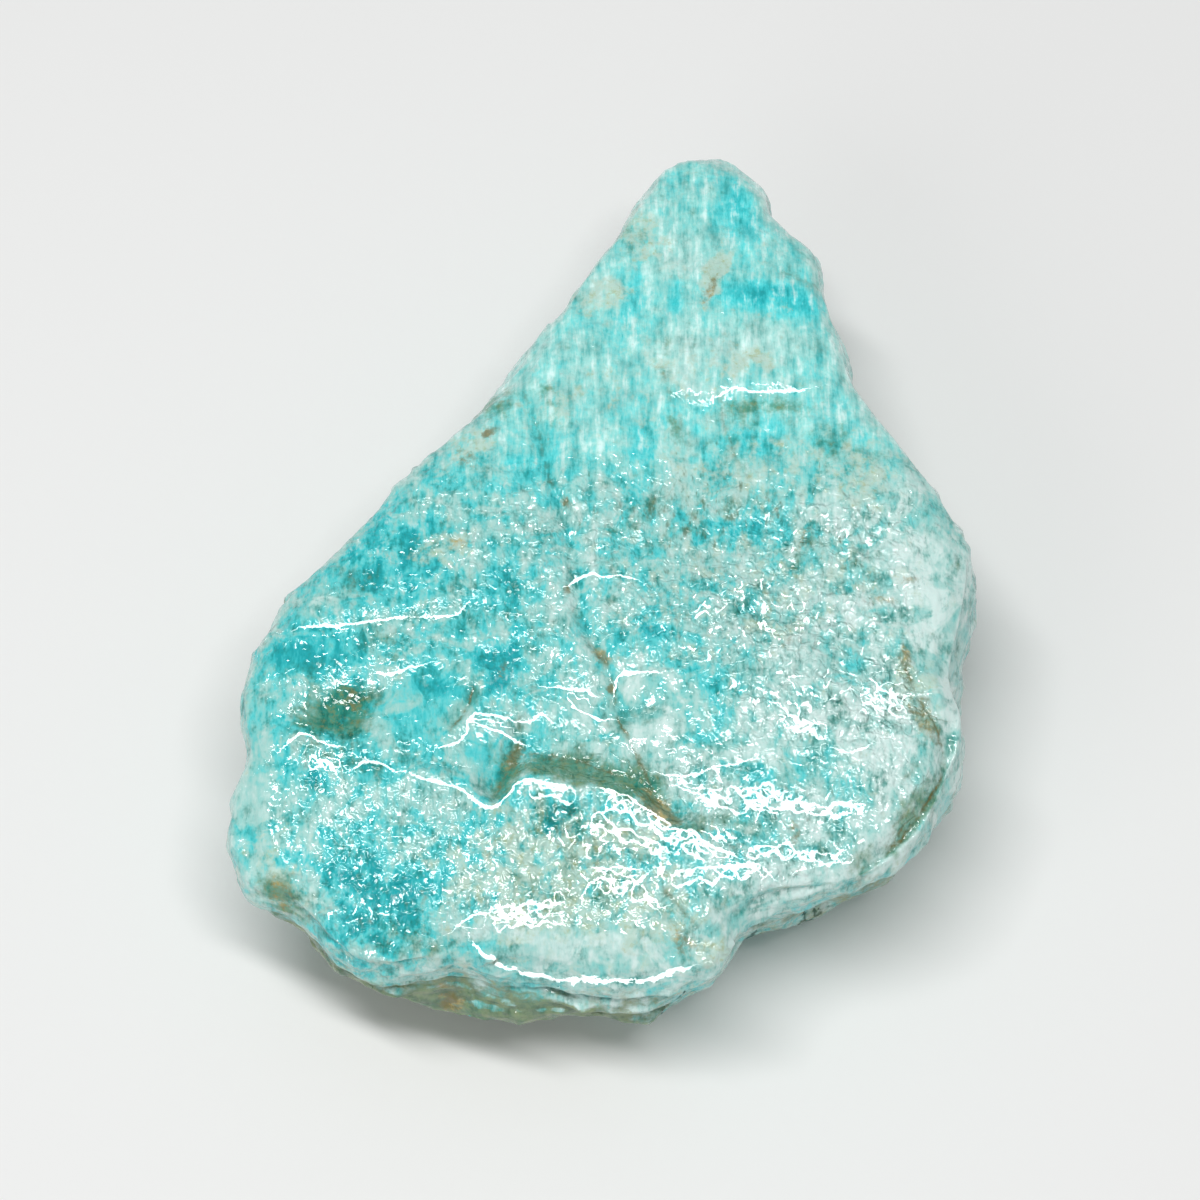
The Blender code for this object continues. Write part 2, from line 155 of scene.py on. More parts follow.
# Sizes of the roughness, and how far each kind moves the rim, the face and the back
LUMP_SIZE = 12.0
BREAK_SIZE = 9.0
HOLLOW_SIZE = 7.0
CHIP_SIZE = 4.2
GRAIN_SIZE = 2.6
RIM_LUMPS, RIM_BREAKS, RIM_CHIPS, RIM_GRAIN = 0.5, 1.5, 0.6, 0.15
FACE_LUMPS, FACE_CHIPS, FACE_GRAIN = 0.25, 0.3, 0.1
BACK_HOLLOWS, BACK_CHIPS = 1.7, 0.3
RIM_SETBACK = 0.6
FRACTAL = (0.9, 2.1)
SCOOP_LEAN = 0.9
SCOOP_FLOOR = 0.15


def smoothstep(low, high, value):
    t = np.clip((value - low) / (high - low), 0.0, 1.0)
    return t * t * (3.0 - 2.0 * t)


def closed_curve(points, samples):
    """Points on a smooth closed curve through the given ones (Catmull-Rom)."""
    p = np.array(points, float)
    before, after, beyond = np.roll(p, 1, 0), np.roll(p, -1, 0), np.roll(p, -2, 0)
    rows = []
    for t in np.arange(samples) / samples:
        rows.append(0.5 * (
            2.0 * p + (after - before) * t
            + (2.0 * before - 5.0 * p + 4.0 * after - beyond) * t**2
            + (3.0 * p - before - 3.0 * after + beyond) * t**3
        ))
    return np.stack(rows, 1).reshape(-1, 2)


def side_of(points, x, y):
    """Distance from a line, positive on its left, and how far along it the nearest end is."""
    p = np.array(points, float)
    lengths = np.hypot(*(p[1:] - p[:-1]).T)
    run = np.concatenate([[0.0], np.cumsum(lengths)])
    nearest = np.full(x.shape, 1e9)
    signed = np.zeros(x.shape)
    from_end = np.zeros(x.shape)
    for (ax, ay), (bx, by), length, start in zip(p[:-1], p[1:], lengths, run):
        ux, uy = (bx - ax) / length, (by - ay) / length
        along = np.clip((x - ax) * ux + (y - ay) * uy, 0.0, length)
        distance = np.hypot(x - ax - along * ux, y - ay - along * uy)
        left = np.where(ux * (y - ay) - uy * (x - ax) >= 0.0, 1.0, -1.0)
        closer = distance < nearest
        nearest = np.where(closer, distance, nearest)
        signed = np.where(closer, distance * left, signed)
        from_end = np.where(closer, np.minimum(start + along, run[-1] - start - along), from_end)
    return signed, from_end


def ledge_height(ledge, x, y):
    side, from_end = side_of(ledge.points, x, y)
    taper = smoothstep(0.0, LEDGE_TAPER, from_end)
    half_width = WORN_WIDTH * ledge.width / 2
    high = smoothstep(-half_width, half_width, side)
    lip = high * np.exp(-((np.maximum(side, 0.0) / ledge.reach) ** 2))
    foot = (1.0 - high) * np.exp(-((np.minimum(side, 0.0) / (FOOT_REACH * ledge.reach)) ** 2))
    return WORN_HEIGHT * ledge.height * taper * (LIP_SHARE * lip - FOOT_SHARE * foot)


def groove_height(groove, x, y):
    side, from_end = side_of(groove.points, x, y)
    taper = smoothstep(0.0, GROOVE_TAPER, from_end)
    return -groove.depth * taper * np.exp(-((side / groove.width) ** 2))


def squared_reach(form, x, y):
    """The square of how far each place is from the form's centre, in the form's half-sizes."""
    turn = math.radians(form.turn_deg)
    dx, dy = x - form.centre[0], y - form.centre[1]
    u = (dx * math.cos(turn) + dy * math.sin(turn)) / form.radii[0]
    v = (dy * math.cos(turn) - dx * math.sin(turn)) / form.radii[1]
    return u * u + v * v


def swell_height(swell, x, y):
    return swell.height * np.exp(-squared_reach(swell, x, y))


def face_fall(x, y):
    """How far the stone's broad side falls away towards both ends and over the lower lobe."""
    below_crest, _ = side_of(CREST, x, y)
    lower = smoothstep(0.0, LOBE_START, -below_crest)
    return -DOME_FALL * (y - DOME_CENTRE) ** 2 - LOBE_SLOPE * np.maximum(-below_crest, 0.0) * lower


def face_relief(x, y):
    """How far the broad face's ledges, furrows and swells stand out, in millimetres."""
    beside_crest, _ = side_of(CREST, x, y)
    height = CREST_RISE * np.exp(-((beside_crest / CREST_WIDTH) ** 2))
    height = height * smoothstep(*CREST_REACH, np.abs(x))
    for ledge in LEDGES:
        height = height + ledge_height(ledge, x, y)
    for groove in GROOVES:
        height = height + groove_height(groove, x, y)
    for swell in SWELLS:
        height = height + swell_height(swell, x, y)
    return height


def rough(points, size, octaves, seed):
    """Fractal noise of about -1 to 1 at each point, with lumps of this size in millimetres."""
    offset = Vector((seed * 17.3, seed * 5.1, seed * 9.7))
    return np.array([
        noise.fractal(Vector(p) / size + offset, *FRACTAL, octaves, noise_basis="PERLIN_ORIGINAL")
        for p in points
    ])


def scoops(points, size, seed):
    """Chipped hollows of this size that meet in ridges: about 0 in a hollow, 1 on a ridge."""
    offset = Vector((seed * 11.9, seed * 3.7, seed * 7.3))
    half = Vector((0.5, 0.5, 0.5))
    heights = []
    for p in points:
        at = Vector(p) / size + offset
        distances, centres = noise.voronoi(at)
        heights.append(min(
            distance * distance
            + (at - centre).dot(noise.cell_vector(centre * 13.7) - half) * SCOOP_LEAN
            for distance, centre in zip(distances, centres)
        ))
    return np.array(heights) - SCOOP_FLOOR


def blank():
    """The lofted blank: one ring of points for each level, joined by quads, with flat ends."""
    edge = closed_curve(FACE_EDGE, SAMPLES_PER_SPAN) - np.array(CENTRE)
    radius = np.hypot(edge[:, 0], edge[:, 1])
    direction = edge / radius[:, None]
    angle = np.degrees(np.arctan2(direction[:, 1], direction[:, 0]))
    belly = np.interp(angle, *zip(*BELLY), period=360.0)
    bm = bmesh.new()
    rings = []
    for inset, height in LEVELS:
        out = belly * math.exp(-(((height - BELLY_HEIGHT) / BELLY_SPREAD) ** 2))
        ring = direction * (radius - inset + out)[:, None] + np.array(CENTRE)
        rings.append([bm.verts.new((px * MM, py * MM, height * MM)) for px, py in ring])
    for upper, lower in zip(rings[:-1], rings[1:]):
        for i in range(len(upper)):
            j = (i + 1) % len(upper)
            bm.faces.new((upper[i], lower[i], lower[j], upper[j]))
    bm.faces.new(rings[0])
    bm.faces.new(reversed(rings[-1]))
    bmesh.ops.recalc_face_normals(bm, faces=bm.faces)
    return bm


def slice_off(bm, point, normal):
    """Takes off what lies beyond the plane, and gives the open edges that this leaves."""
    bmesh.ops.bisect_plane(
        bm, geom=bm.verts[:] + bm.edges[:] + bm.faces[:], dist=1e-6,
        plane_co=point, plane_no=normal, clear_outer=True, clear_inner=False,
    )
    return [edge for edge in bm.edges if edge.is_boundary]


def cut(bm, point, normal):
    """Takes off what lies beyond the plane, and closes the cut with a flat face."""
    bmesh.ops.holes_fill(bm, edges=slice_off(bm, point, normal))


def chip_rim(bm):
    for facing_deg, at_face, at_back in CHIPS:
        facing = math.radians(facing_deg)
        outward = Vector((math.cos(facing), math.sin(facing), 0.0))
        back_point = Vector((*CENTRE, 0.0)) + outward * at_back
        normal = (outward * THICKNESS + Vector((0.0, 0.0, at_back - at_face))).normalized()
        cut(bm, back_point * MM, normal)


def nick_rim(bm):
    """Small flats where something sticks out of the rim, mostly on its underside."""
    chance = random.Random(NICK_SEED)
    for number in range(NICKS):
        facing = math.radians((number + chance.random()) * 360.0 / NICKS)
        up = math.radians(chance.uniform(*NICK_UP_DEG))
        level = math.cos(up)
        normal = Vector((math.cos(facing) * level, math.sin(facing) * level, math.sin(up)))
        furthest = max(vert.co.dot(normal) for vert in bm.verts)
        cut(bm, normal * (furthest - chance.uniform(*NICK_DEPTH) * MM), normal)


def add_object(name, data):
    obj = bpy.data.objects.new(name, data)
    bpy.context.scene.collection.objects.link(obj)
    return obj


def modified(mesh, *modifiers):
    """A new mesh of this one as the modifiers leave it. Each is a kind and its settings."""
    obj = add_object("in_work", mesh)
    for kind, settings in modifiers:
        modifier = obj.modifiers.new(kind.lower(), kind)
        for name, value in settings.items():
            setattr(modifier, name, value)
    graph = bpy.context.evaluated_depsgraph_get()
    graph.update()
    made = bpy.data.meshes.new_from_object(obj.evaluated_get(graph))
    bpy.data.objects.remove(obj)
    return made


def surface(mesh):
    """The mesh's points in millimetres, and their normals."""
    at = np.empty(len(mesh.vertices) * 3)
    mesh.vertices.foreach_get("co", at)
    normals = np.empty(len(at))
    mesh.vertices.foreach_get("normal", normals)
    return at.reshape(-1, 3) / MM, normals.reshape(-1, 3)


def soften(mesh):
    """An even mesh over the chipped blank, with its corners rubbed down."""
    even = {"mode": "VOXEL", "voxel_size": VOXEL * MM}
    rubbed = {"factor": 0.5, "iterations": SOFTENING}
    return modified(mesh, ("REMESH", even), ("SMOOTH", rubbed))


# A patch on the face, which fades at its edge
Patch = namedtuple("Patch", "centre radii strength turn_deg", defaults=(1.0, 0.0))
# A thin line on the face, such as a wet lip or a crack
Line = namedtuple("Line", "points strength", defaults=(1.0,))
LINE_TAPER = 0.9
LINE_REACH = 1.3
LINE_LIMIT = 3.0


def patches(rows):
    """A patch for each row: centre, half-sizes, and the strength and turn if not 1 and 0."""
    return [Patch((x, y), (across, along), *more) for x, y, across, along, *more in rows]


def cover(table, x, y):
    """How strongly the table's patches cover each place."""
    total = np.zeros(x.shape)
    for patch in table:
        total = np.maximum(total, patch.strength * np.exp(-(squared_reach(patch, x, y) ** 1.5)))
    return total


def line_fields(lines, x, y):
    """The signed distance from the nearest line, and its strength, which fades away from it."""
    side = np.full(x.shape, 1e3)
    strength = np.zeros(x.shape)
    for line in lines:
        here, from_end = side_of(line.points, x, y)
        fade = smoothstep(0.0, LINE_TAPER, from_end) * np.exp(-((here / LINE_REACH) ** 2))
        nearer = np.abs(here) < np.abs(side)
        side = np.where(nearer, here, side)
        strength = np.where(nearer, line.strength * fade, strength)
    return np.clip(side, -LINE_LIMIT, LINE_LIMIT), strength


# Where the wet face is smooth, with little sparkle
CALM = patches([
    (-15.6, -15, 5.2, 3.4, 0.9, 10), (4.7, -16.6, 4.2, 4.6, 0.9, 10), (-2, -36, 9.5, 2.2),
    (-1.8, -15.6, 2.6, 1.6, 0.9), (-28.8, -22, 2.8, 8, 0.9), (29.6, -8, 2.6, 13, 0.9),
    (-24, -10.4, 4.4, 2, 0.8, 5), (-9.8, -20.4, 1.9, 3, 0.9, 10), (-21.5, -14.8, 3.2, 2, 0.7, 20),
    (11.5, -34, 3.4, 2.4, 0.8, 20), (14, -20, 5, 2.2, 0.5), (23.5, -27, 3, 3.5, 0.7, -40),
])

# Where the wet face sparkles most
SPARKLING = patches([
    (-19.4, -32.6, 4.6, 4.2, 1, -20), (-24, -19.8, 3.4, 2.4), (-14, -24.6, 3.6, 1.8, 0.7, -10),
    (-1.6, -27, 4, 3.6, 1.3, -40), (3, -29.6, 3.4, 2.6, 1.2), (-8.4, -32.6, 4.8, 1.3, 1, 5),
    (9, -22.2, 6, 2, 1.3), (16.4, -24.4, 7.2, 1.6, 1.5), (8.6, -27.6, 5.4, 1.8, 1.4, -20),
    (17, -28.6, 5, 1.4, 1.3, 5), (8.6, -34.6, 3, 1.2, 0.9, -20), (25, -14.2, 4, 3.6, 1.4, 20),
    (13, -7, 11, 5, 1.1), (18, -15, 8, 5, 1.1), (-4, 2, 6, 7, 0.6), (19, 1, 8, 4, 0.9),
])
SPARKLE_ELSEWHERE = 0.5

# Wet lips along the small ledges, which catch the light
LIPS = [
    Line([(-25.4, -8), (-23.9, -7.8), (-22.1, -7.9), (-20.1, -7.5), (-16.4, -7)]),
    Line([(-15.7, -6.9), (-13.7, -7), (-12.2, -6.9), (-11.3, -5.9)]),
    Line([(-18.9, -12), (-17.6, -12.3), (-16.1, -11.7), (-14.8, -11.4)]),
    Line([
        (-13.5, -19.1), (-12, -18.6), (-11.2, -17.7), (-11.1, -16.5), (-10.3, -15.9), (-7.1, -16.5),
    ]),
    Line([(-7, -16.5), (-5.7, -16.5), (-5, -15.8), (-4.4, -16.3)]),
    Line([(-10.8, -16.7), (-9.6, -17.1), (-8.1, -17.6), (-6.4, -18.2)], 0.7),
    Line([(-4.4, -13.5), (-2.7, -13.7), (-1.4, -13.7), (-0.1, -14.3)]),
    Line([(-2.6, -14.5), (-2.4, -15.2), (-1.4, -15.9), (-0.1, -16.6), (1.2, -16.4)]),
    Line([(1.2, -14.2), (1.3, -12.8), (2, -12.3), (3.4, -12.1), (4.9, -12.3)]),
    Line([(-21, -21), (-19.9, -20.3), (-18.7, -20.3), (-17.4, -21)]),
    Line([
        (-15.8, -21.5), (-14.5, -22.1), (-11.6, -22.8), (-10.3, -24.1), (-9.5, -24.6),
        (-8.5, -24.3), (-7, -22.2), (-6.3, -22), (-5, -22.4), (-2.2, -22.8),
    ], 1.3),
    Line([
        (-0.2, -22.7), (2.3, -23.4), (4.8, -25), (6.7, -26.4), (7.7, -26.5), (8.7, -27.7),
        (11.8, -28.9),
    ], 1.3),
    Line([(5.9, -30.2), (7.2, -29.7), (11.6, -29.5), (13.3, -29.6), (14.2, -30.1)], 1.2),
    Line([(5.2, -21.2), (6.7, -21.7), (8.2, -21.6), (9.7, -20.9), (12.5, -20.4)], 0.5),
    Line([(6.2, -22.2), (9.7, -23.9)], 0.55),
    Line([
        (-10.7, -35.1), (-9.7, -36), (-8.2, -36.6), (-6, -37), (-3.3, -37.5), (0.3, -38),
        (4.5, -37.8), (6.6, -37.3), (7.6, -37.2),
    ], 1.4),
    Line([(-12.1, -34.2), (-10.4, -33.3), (-8.9, -32.9)], 0.9),
    Line([(-1.5, -31.8), (-0.9, -30.7), (0, -30.1), (1.3, -30.4), (3.7, -30.9)], 0.8),
    Line([(-0.3, -29.4), (1.3, -29.4), (3, -29.6)], 0.7),
    Line([(-2.9, -4.2), (-1.8, -3.3), (-0.7, -3.1), (0.9, -3.3), (2.1, -3.1), (3.3, -3.8)]),
    Line([(10.3, 14.4), (11.7, 15.2), (13.1, 14.9), (15.7, 15), (17.2, 14.9), (18.5, 15.2)], 0.65),
    Line([(-26.7, -18.8), (-25.3, -17.6), (-24.4, -17.7), (-23.6, -18.4), (-21.9, -18.9)]),
    Line([(22.3, -13.7), (23.9, -13.9), (24.9, -14.3), (26.6, -14.2)]),
    Line([(14.9, -15.4), (15.9, -16.3), (17, -16.8), (18.4, -17.2)]),
    Line([(19.5, -19.2), (21.2, -19.8), (22.8, -18.8)]),
]

# Rows of small loops of wet edge: the line that each row follows
LOOPED = [
    Line([(8.6, -23.3), (11.1, -24.3), (14.1, -23.9), (18.8, -24.7), (22.3, -24.3)], 0.95),
    Line([(10.6, -23.2), (13, -22.9), (15.6, -23.4)], 0.7),
    Line([
        (12.3, -28.4), (14.2, -27.9), (16, -28.2), (17.6, -28.6), (19.1, -28.7), (20.9, -28.4),
    ], 1),
    Line([(5.9, -30.8), (8.4, -30.3), (11, -30.2), (13.4, -29.4)], 0.7),
    Line([(-9.2, -33.2), (-7, -33), (-5, -32.7), (-3.2, -31.9)], 0.9),
    Line([(-8.8, -34), (-6.4, -33.7), (-4.2, -33.6)], 0.6),
    Line([(0.4, -23.9), (2.6, -24.6), (4.6, -25.9), (6.6, -27.3), (9, -28.8)], 0.8),
    Line([(-6, -22.9), (-4.2, -23.1), (-2, -23.6)], 0.7),
    Line([(-0.6, -25), (1.4, -26.4), (3.6, -27.2), (5.8, -28.6)], 0.7),
    Line([(0, -30.9), (1.6, -31.2), (3.6, -31.8), (5.2, -33)], 0.75),
    Line([(-24.6, -20.2), (-23, -20.6), (-21.6, -21.2)], 0.8),
    Line([(15.4, -16.9), (17.2, -17.6), (19.2, -18)], 0.7),
    Line([(22, -14.6), (24.2, -15.4), (26.2, -16.2)], 0.9),
]
LOOP_LENGTH = 1.3
LOOP_HALF_WIDTH = 0.55
LOOP_NECK = 0.05
LOOP_STEP = 0.2


def looped(line):
    """Two wavy lines on either side of the given one, which nearly meet and form a row of loops."""
    p = np.array(line.points, float)
    run = np.concatenate([[0.0], np.cumsum(np.hypot(*(p[1:] - p[:-1]).T))])
    at = np.arange(0.0, run[-1], LOOP_STEP)
    x, y = np.interp(at, run, p[:, 0]), np.interp(at, run, p[:, 1])
    along_x, along_y = np.gradient(x, at), np.gradient(y, at)
    wave = np.abs(np.sin(math.pi * at / LOOP_LENGTH + 0.8 * np.sin(at)))
    out = LOOP_NECK + LOOP_HALF_WIDTH * wave * (0.8 + 0.35 * np.sin(2.3 * at))
    left = list(zip(x - along_y * out, y + along_x * out))
    right = list(zip(x + along_y * out, y - along_x * out))
    return [Line(left, line.strength), Line(right[::-1], line.strength)]


LIPS += [wave for line in LOOPED for wave in looped(line)]

# The finer relief that the solid leaves out: its sizes, and how far each kind moves the surface
PIT_SIZE = 1.7
SEED_SIZE = 1.05
RIB_SIZE = 0.8
RIB_STRETCH = 6.0
SHARD_SIZE = 2.1
FACE_PITS, FACE_SEEDS, FACE_RIBS = 0.26, 0.05, 0.05
RIM_SHARDS, RIM_SEEDS, RIM_STEPS = 0.3, 0.08, 0.06
STEP_SPACING = 1.6
PITTED_Y = (13.0, 3.0)
PITTED_WANDER = 6.0
CALM_SMOOTHING, LIP_SMOOTHING = 0.75, 0.7
SEEDS_AMONG_RIBS = 0.3


def ribs(at, seed):
    """Noise drawn out along the stone, for the ribbed upper half of the face."""
    drawn_out = at * np.array([1.0, 1.0 / RIB_STRETCH, 1.0 / RIB_STRETCH])
    return rough(drawn_out, RIB_SIZE, octaves=2, seed=seed)


def fine_relief(at, on_face, on_rim, lumps, layer):
    """Pits and seeds low on the face, ribs high on it, and shards and thin layers on the rim."""
    x, y = at[:, 0], at[:, 1]
    pitted = smoothstep(*PITTED_Y, y + PITTED_WANDER * lumps)
    seeds = rough(at, SEED_SIZE, octaves=2, seed=21)
    pits = scoops(at, PIT_SIZE, seed=22)
    shards = scoops(at, SHARD_SIZE, seed=23)
    steps = np.abs(2.0 * np.mod(layer / STEP_SPACING, 1.0) - 1.0)
    _, lip_strength = line_fields(LIPS, x, y)
    share = on_face * (0.5 + 0.5 * cover(SPARKLING, x, y))
    share *= 1.0 - CALM_SMOOTHING * cover(CALM, x, y)
    share *= 1.0 - LIP_SMOOTHING * np.minimum(lip_strength, 1.0)
    lifted = share * pitted * (FACE_PITS * pits + FACE_SEEDS * seeds)
    ribbed = FACE_RIBS * ribs(at, seed=24) + SEEDS_AMONG_RIBS * FACE_SEEDS * seeds
    lifted += share * (1.0 - pitted) * ribbed
    sideways = on_rim * (RIM_SHARDS * shards + RIM_SEEDS * seeds + RIM_STEPS * (steps - 0.5))
    return lifted, sideways


def work_surface(mesh):
    """Works the face's relief, the rim's layers and all the roughness into the blank."""
    at, normals = surface(mesh)
    x, y, z = at.T

    on_face = smoothstep(*FACE_NORMAL, normals[:, 2])
    on_back = smoothstep(*BACK_NORMAL, -normals[:, 2])
    on_rim = np.clip(1.0 - on_face - on_back, 0.0, 1.0)

    lumps = rough(at, LUMP_SIZE, octaves=3, seed=1)
    grain = rough(at, GRAIN_SIZE, octaves=3, seed=2)
    breaks = scoops(at, BREAK_SIZE, seed=4)
    chips = scoops(at, CHIP_SIZE, seed=5)
    hollows = rough(at, HOLLOW_SIZE, octaves=2, seed=7)

    layer = z + WAVE_HEIGHT * rough(at, WAVE_SIZE, octaves=2, seed=3)
    layered = smoothstep(*FADE, rough(at, FADE_SIZE, octaves=1, seed=6))
    steps = -layer * len(LAMINA_HEIGHTS) / THICKNESS
    for height in LAMINA_HEIGHTS:
        steps += smoothstep(-LAMINA_EDGE, LAMINA_EDGE, layer - height)

    rim = LAMINA_STEP * layered * steps - RIM_SETBACK
    rim += RIM_LUMPS * lumps + RIM_BREAKS * breaks + RIM_CHIPS * chips + RIM_GRAIN * grain
    sideways = on_rim * smoothstep(*TIP_Y, y) * rim

    lifted = face_fall(x, y) * smoothstep(FALL_FROM, THICKNESS, z)
    relief = face_relief(x, y) + FACE_LUMPS * lumps + FACE_CHIPS * chips + FACE_GRAIN * grain
    lifted += on_face * relief
    lifted += on_back * (BACK_HOLLOWS * hollows + BACK_CHIPS * chips)

    fine_lifted, fine_sideways = fine_relief(at, on_face, on_rim, lumps, layer)
    lifted += fine_lifted
    sideways += fine_sideways
    at = at + normals * sideways[:, None]
    at[:, 2] += lifted
    mesh.vertices.foreach_set("co", (at * MM).ravel())
    mesh.update()


def thinned(mesh):
    """The worked surface with its triangles kept for where it bends."""
    rubbed = {"factor": 0.5, "iterations": 1}
    ratio = TRIANGLES / sum(len(face.vertices) - 2 for face in mesh.polygons)
    fewer = {"ratio": ratio, "use_collapse_triangulate": True}
    return modified(mesh, ("SMOOTH", rubbed), ("DECIMATE", fewer))


def cut_back_flat(mesh):
    """Takes the back off flat a little above its lowest point, and sets the stone down on it."""
    bm = bmesh.new()
    bm.from_mesh(mesh)
    base = BACK_CUT * MM
    down = Vector((0.0, 0.0, -1.0))
    open_edges = slice_off(bm, Vector((0.0, 0.0, base)), down)
    bmesh.ops.triangle_fill(bm, edges=open_edges, use_beauty=True, use_dissolve=False, normal=down)
    shift = Vector((PLAN_SHIFT[0] * MM, PLAN_SHIFT[1] * MM, -base))
    bmesh.ops.translate(bm, verts=bm.verts, vec=shift)
    bmesh.ops.triangulate(bm, faces=bm.faces)
    bm.to_mesh(mesh)
    bm.free()


# Where the face is a stronger blue-green
TEAL = patches([
    (-24.2, -10.2, 5.2, 2.6, 0.7, 8), (-14.5, -13.4, 3.2, 1.5, 0.7), (-8.4, -11.6, 1.6, 2.4, 1.6),
    (-9.6, -20, 1.6, 3.2, 0.6, 15), (-20.6, -29.6, 3.2, 3.6, 0.9, 15),
    (-17.6, -32.8, 3.2, 3.2, 1.3), (-22, -35.6, 2.2, 1.4, 0.9, -30), (-24.6, -21.4, 2.6, 1.8, 0.5),
    (14.8, 24.4, 4.6, 1.5, 1.1), (18.6, 23.8, 1.2, 1.4, 0.9), (12.2, 33.5, 1.9, 4, 0.8, 10),
    (6.9, 25, 0.8, 2.2, 0.7), (2.8, 24.6, 1.2, 2.6, 0.6), (3.9, 9.2, 1.1, 2.4, 0.6),
    (13.4, 10, 2.6, 1.6, 0.5), (-5, 8, 2.6, 3, 0.5), (12.1, 1.6, 3.6, 1.8, 0.7),
    (-17, -2, 3.6, 4, 0.8, 30), (-20.6, -1.6, 1.6, 2.6, 0.7), (-8, -4, 2.2, 4, 0.6),
    (4.4, -8.4, 3.2, 2, 0.6), (9.3, -14.4, 1.7, 5, 0.8, 5), (14.6, -21.6, 3.4, 1.3, 0.7),
    (20.4, -12.2, 2.6, 2, 0.6), (21, -22, 1.2, 2, 0.5), (-3, -25.5, 1.8, 2.4, 0.7),
    (1.6, -29.2, 1.8, 1.2, 0.6),
])
# Where it is paler
PALE = patches([
    (-2, -16.2, 3, 1.6, 0.7), (4.6, -16, 3, 4.4, 0.9, 10), (11.5, -19, 3.4, 2.6, 0.5),
    (-1.4, -35.6, 11, 2.6, 1.3), (7, 18.2, 2.8, 3, 1.4, 20), (13.5, 19.6, 4.5, 2.6, 1.1),
    (7.4, 29, 3, 4, 0.9), (0.2, 24.8, 2.8, 1.6, 0.8, 10), (-1.5, 16.6, 2.6, 3.4, 0.5),
    (-13.4, -1, 3.2, 1.8, 0.7, 30), (-24.6, -5.6, 2.6, 3, 0.6, 40), (-29.4, -20, 2.4, 9, 0.8),
    (-24, -25, 4, 3, 0.7), (-25.2, -31.4, 1.8, 4, 0.9, 30), (-14.2, -23.6, 3.6, 1.8, 0.5, 10),
    (28, -2, 3.4, 9, 0.9), (29, -20, 2, 6, 0.6), (18, -7.8, 4.2, 2.2, 0.6), (16.4, -16, 6, 3, 0.6),
    (24.5, -19, 2.6, 5, 0.6), (22, 3, 5, 4, 0.5), (10.5, -34, 4.5, 2.2, 0.9, 25),
    (-8, 26, 2, 4, 0.5),
])
# Where it is a warm cream instead of a cold white
CREAM = patches([
    (1.2, -26.8, 5.6, 2.4, 0.8, -12), (-3.5, -30, 11, 6.5, 0.75), (4, -33.4, 4.5, 2.6, 0.8),
    (-12.8, -0.4, 3, 1.4, 0.9, 30), (0, 24.6, 2.8, 1.5, 0.8, 10), (13, 17.6, 3, 1.8, 0.7),
    (7.4, 17.4, 2.4, 2.4, 0.5, 20), (10, 26.2, 0.9, 3.2, 1.5, -22), (14, -4, 13, 7, 0.4),
    (13, 7, 9, 6, 0.4), (5, 15, 10, 5, 0.3), (4, 31, 2.4, 4, 0.7, 30),
    (26.4, -13.4, 2, 3.4, 0.8, 20), (15.2, -8.6, 2.8, 1.6, 0.7), (22.5, 6.5, 3, 4, 0.7),
    (-4.6, 13.6, 2.4, 2.6, 0.5), (-26.6, -29, 2.2, 3.6, 0.6, 20), (9, -36, 2.4, 1.4, 0.6, 20),
    (-11, 9.6, 3, 1.6, 0.8, 40),
])
# Olive-green stain, and in one patch painted shadow under the top ledge
OLIVE = patches([
    (-22.4, -15.6, 3.8, 2.8, 1.2, 25), (-7.9, -21, 1.2, 3, 1.2, -22),
    (-22.6, -20, 3.8, 1.2, 0.6, -10), (-17.4, -9.4, 1.2, 1.6, 0.4),
    (-3.8, -20.6, 4.8, 1.9, 1.3, -5), (2.4, -22, 3.4, 1.8, 1.3, -25),
    # The second patch on this row is painted shadow under the top ledge
    (7.4, -26, 2.2, 1.2, 0.8, -30), (14.6, 13.6, 4.4, 1.2, 0.8), (12.2, 9.6, 1.6, 4.4, 0.4, 8),
    (6.6, 12, 0.7, 2.6, 0.7), (5.8, 17, 0.8, 3, 0.4), (20.6, 9.6, 3.2, 2.6, 0.4, 10),
    (6, 3, 9, 4, 0.3, 8), (20, -1.5, 5, 3, 0.35), (10.5, -26, 5, 1.6, 0.5, -8),
    (-2.2, -26.4, 7, 2.8, 0.5, -20), (-2, -31.4, 8, 3, 0.45), (-4.6, 14, 1.4, 4, 0.4, 20),
    (-9.4, 14.6, 1.6, 2.6, 0.8, 40), (2, 32.6, 1.4, 3.4, 0.5, 30),
    (26.3, -24.8, 0.9, 3.6, 0.9, -33), (22.4, -28.6, 0.6, 2.2, 0.6, -46),
    (-14.6, -35.6, 4, 1.4, 0.5), (-2, -14.6, 2.4, 1, 0.3), (-26.8, -30.6, 2.8, 2, 1.2, -35),
])
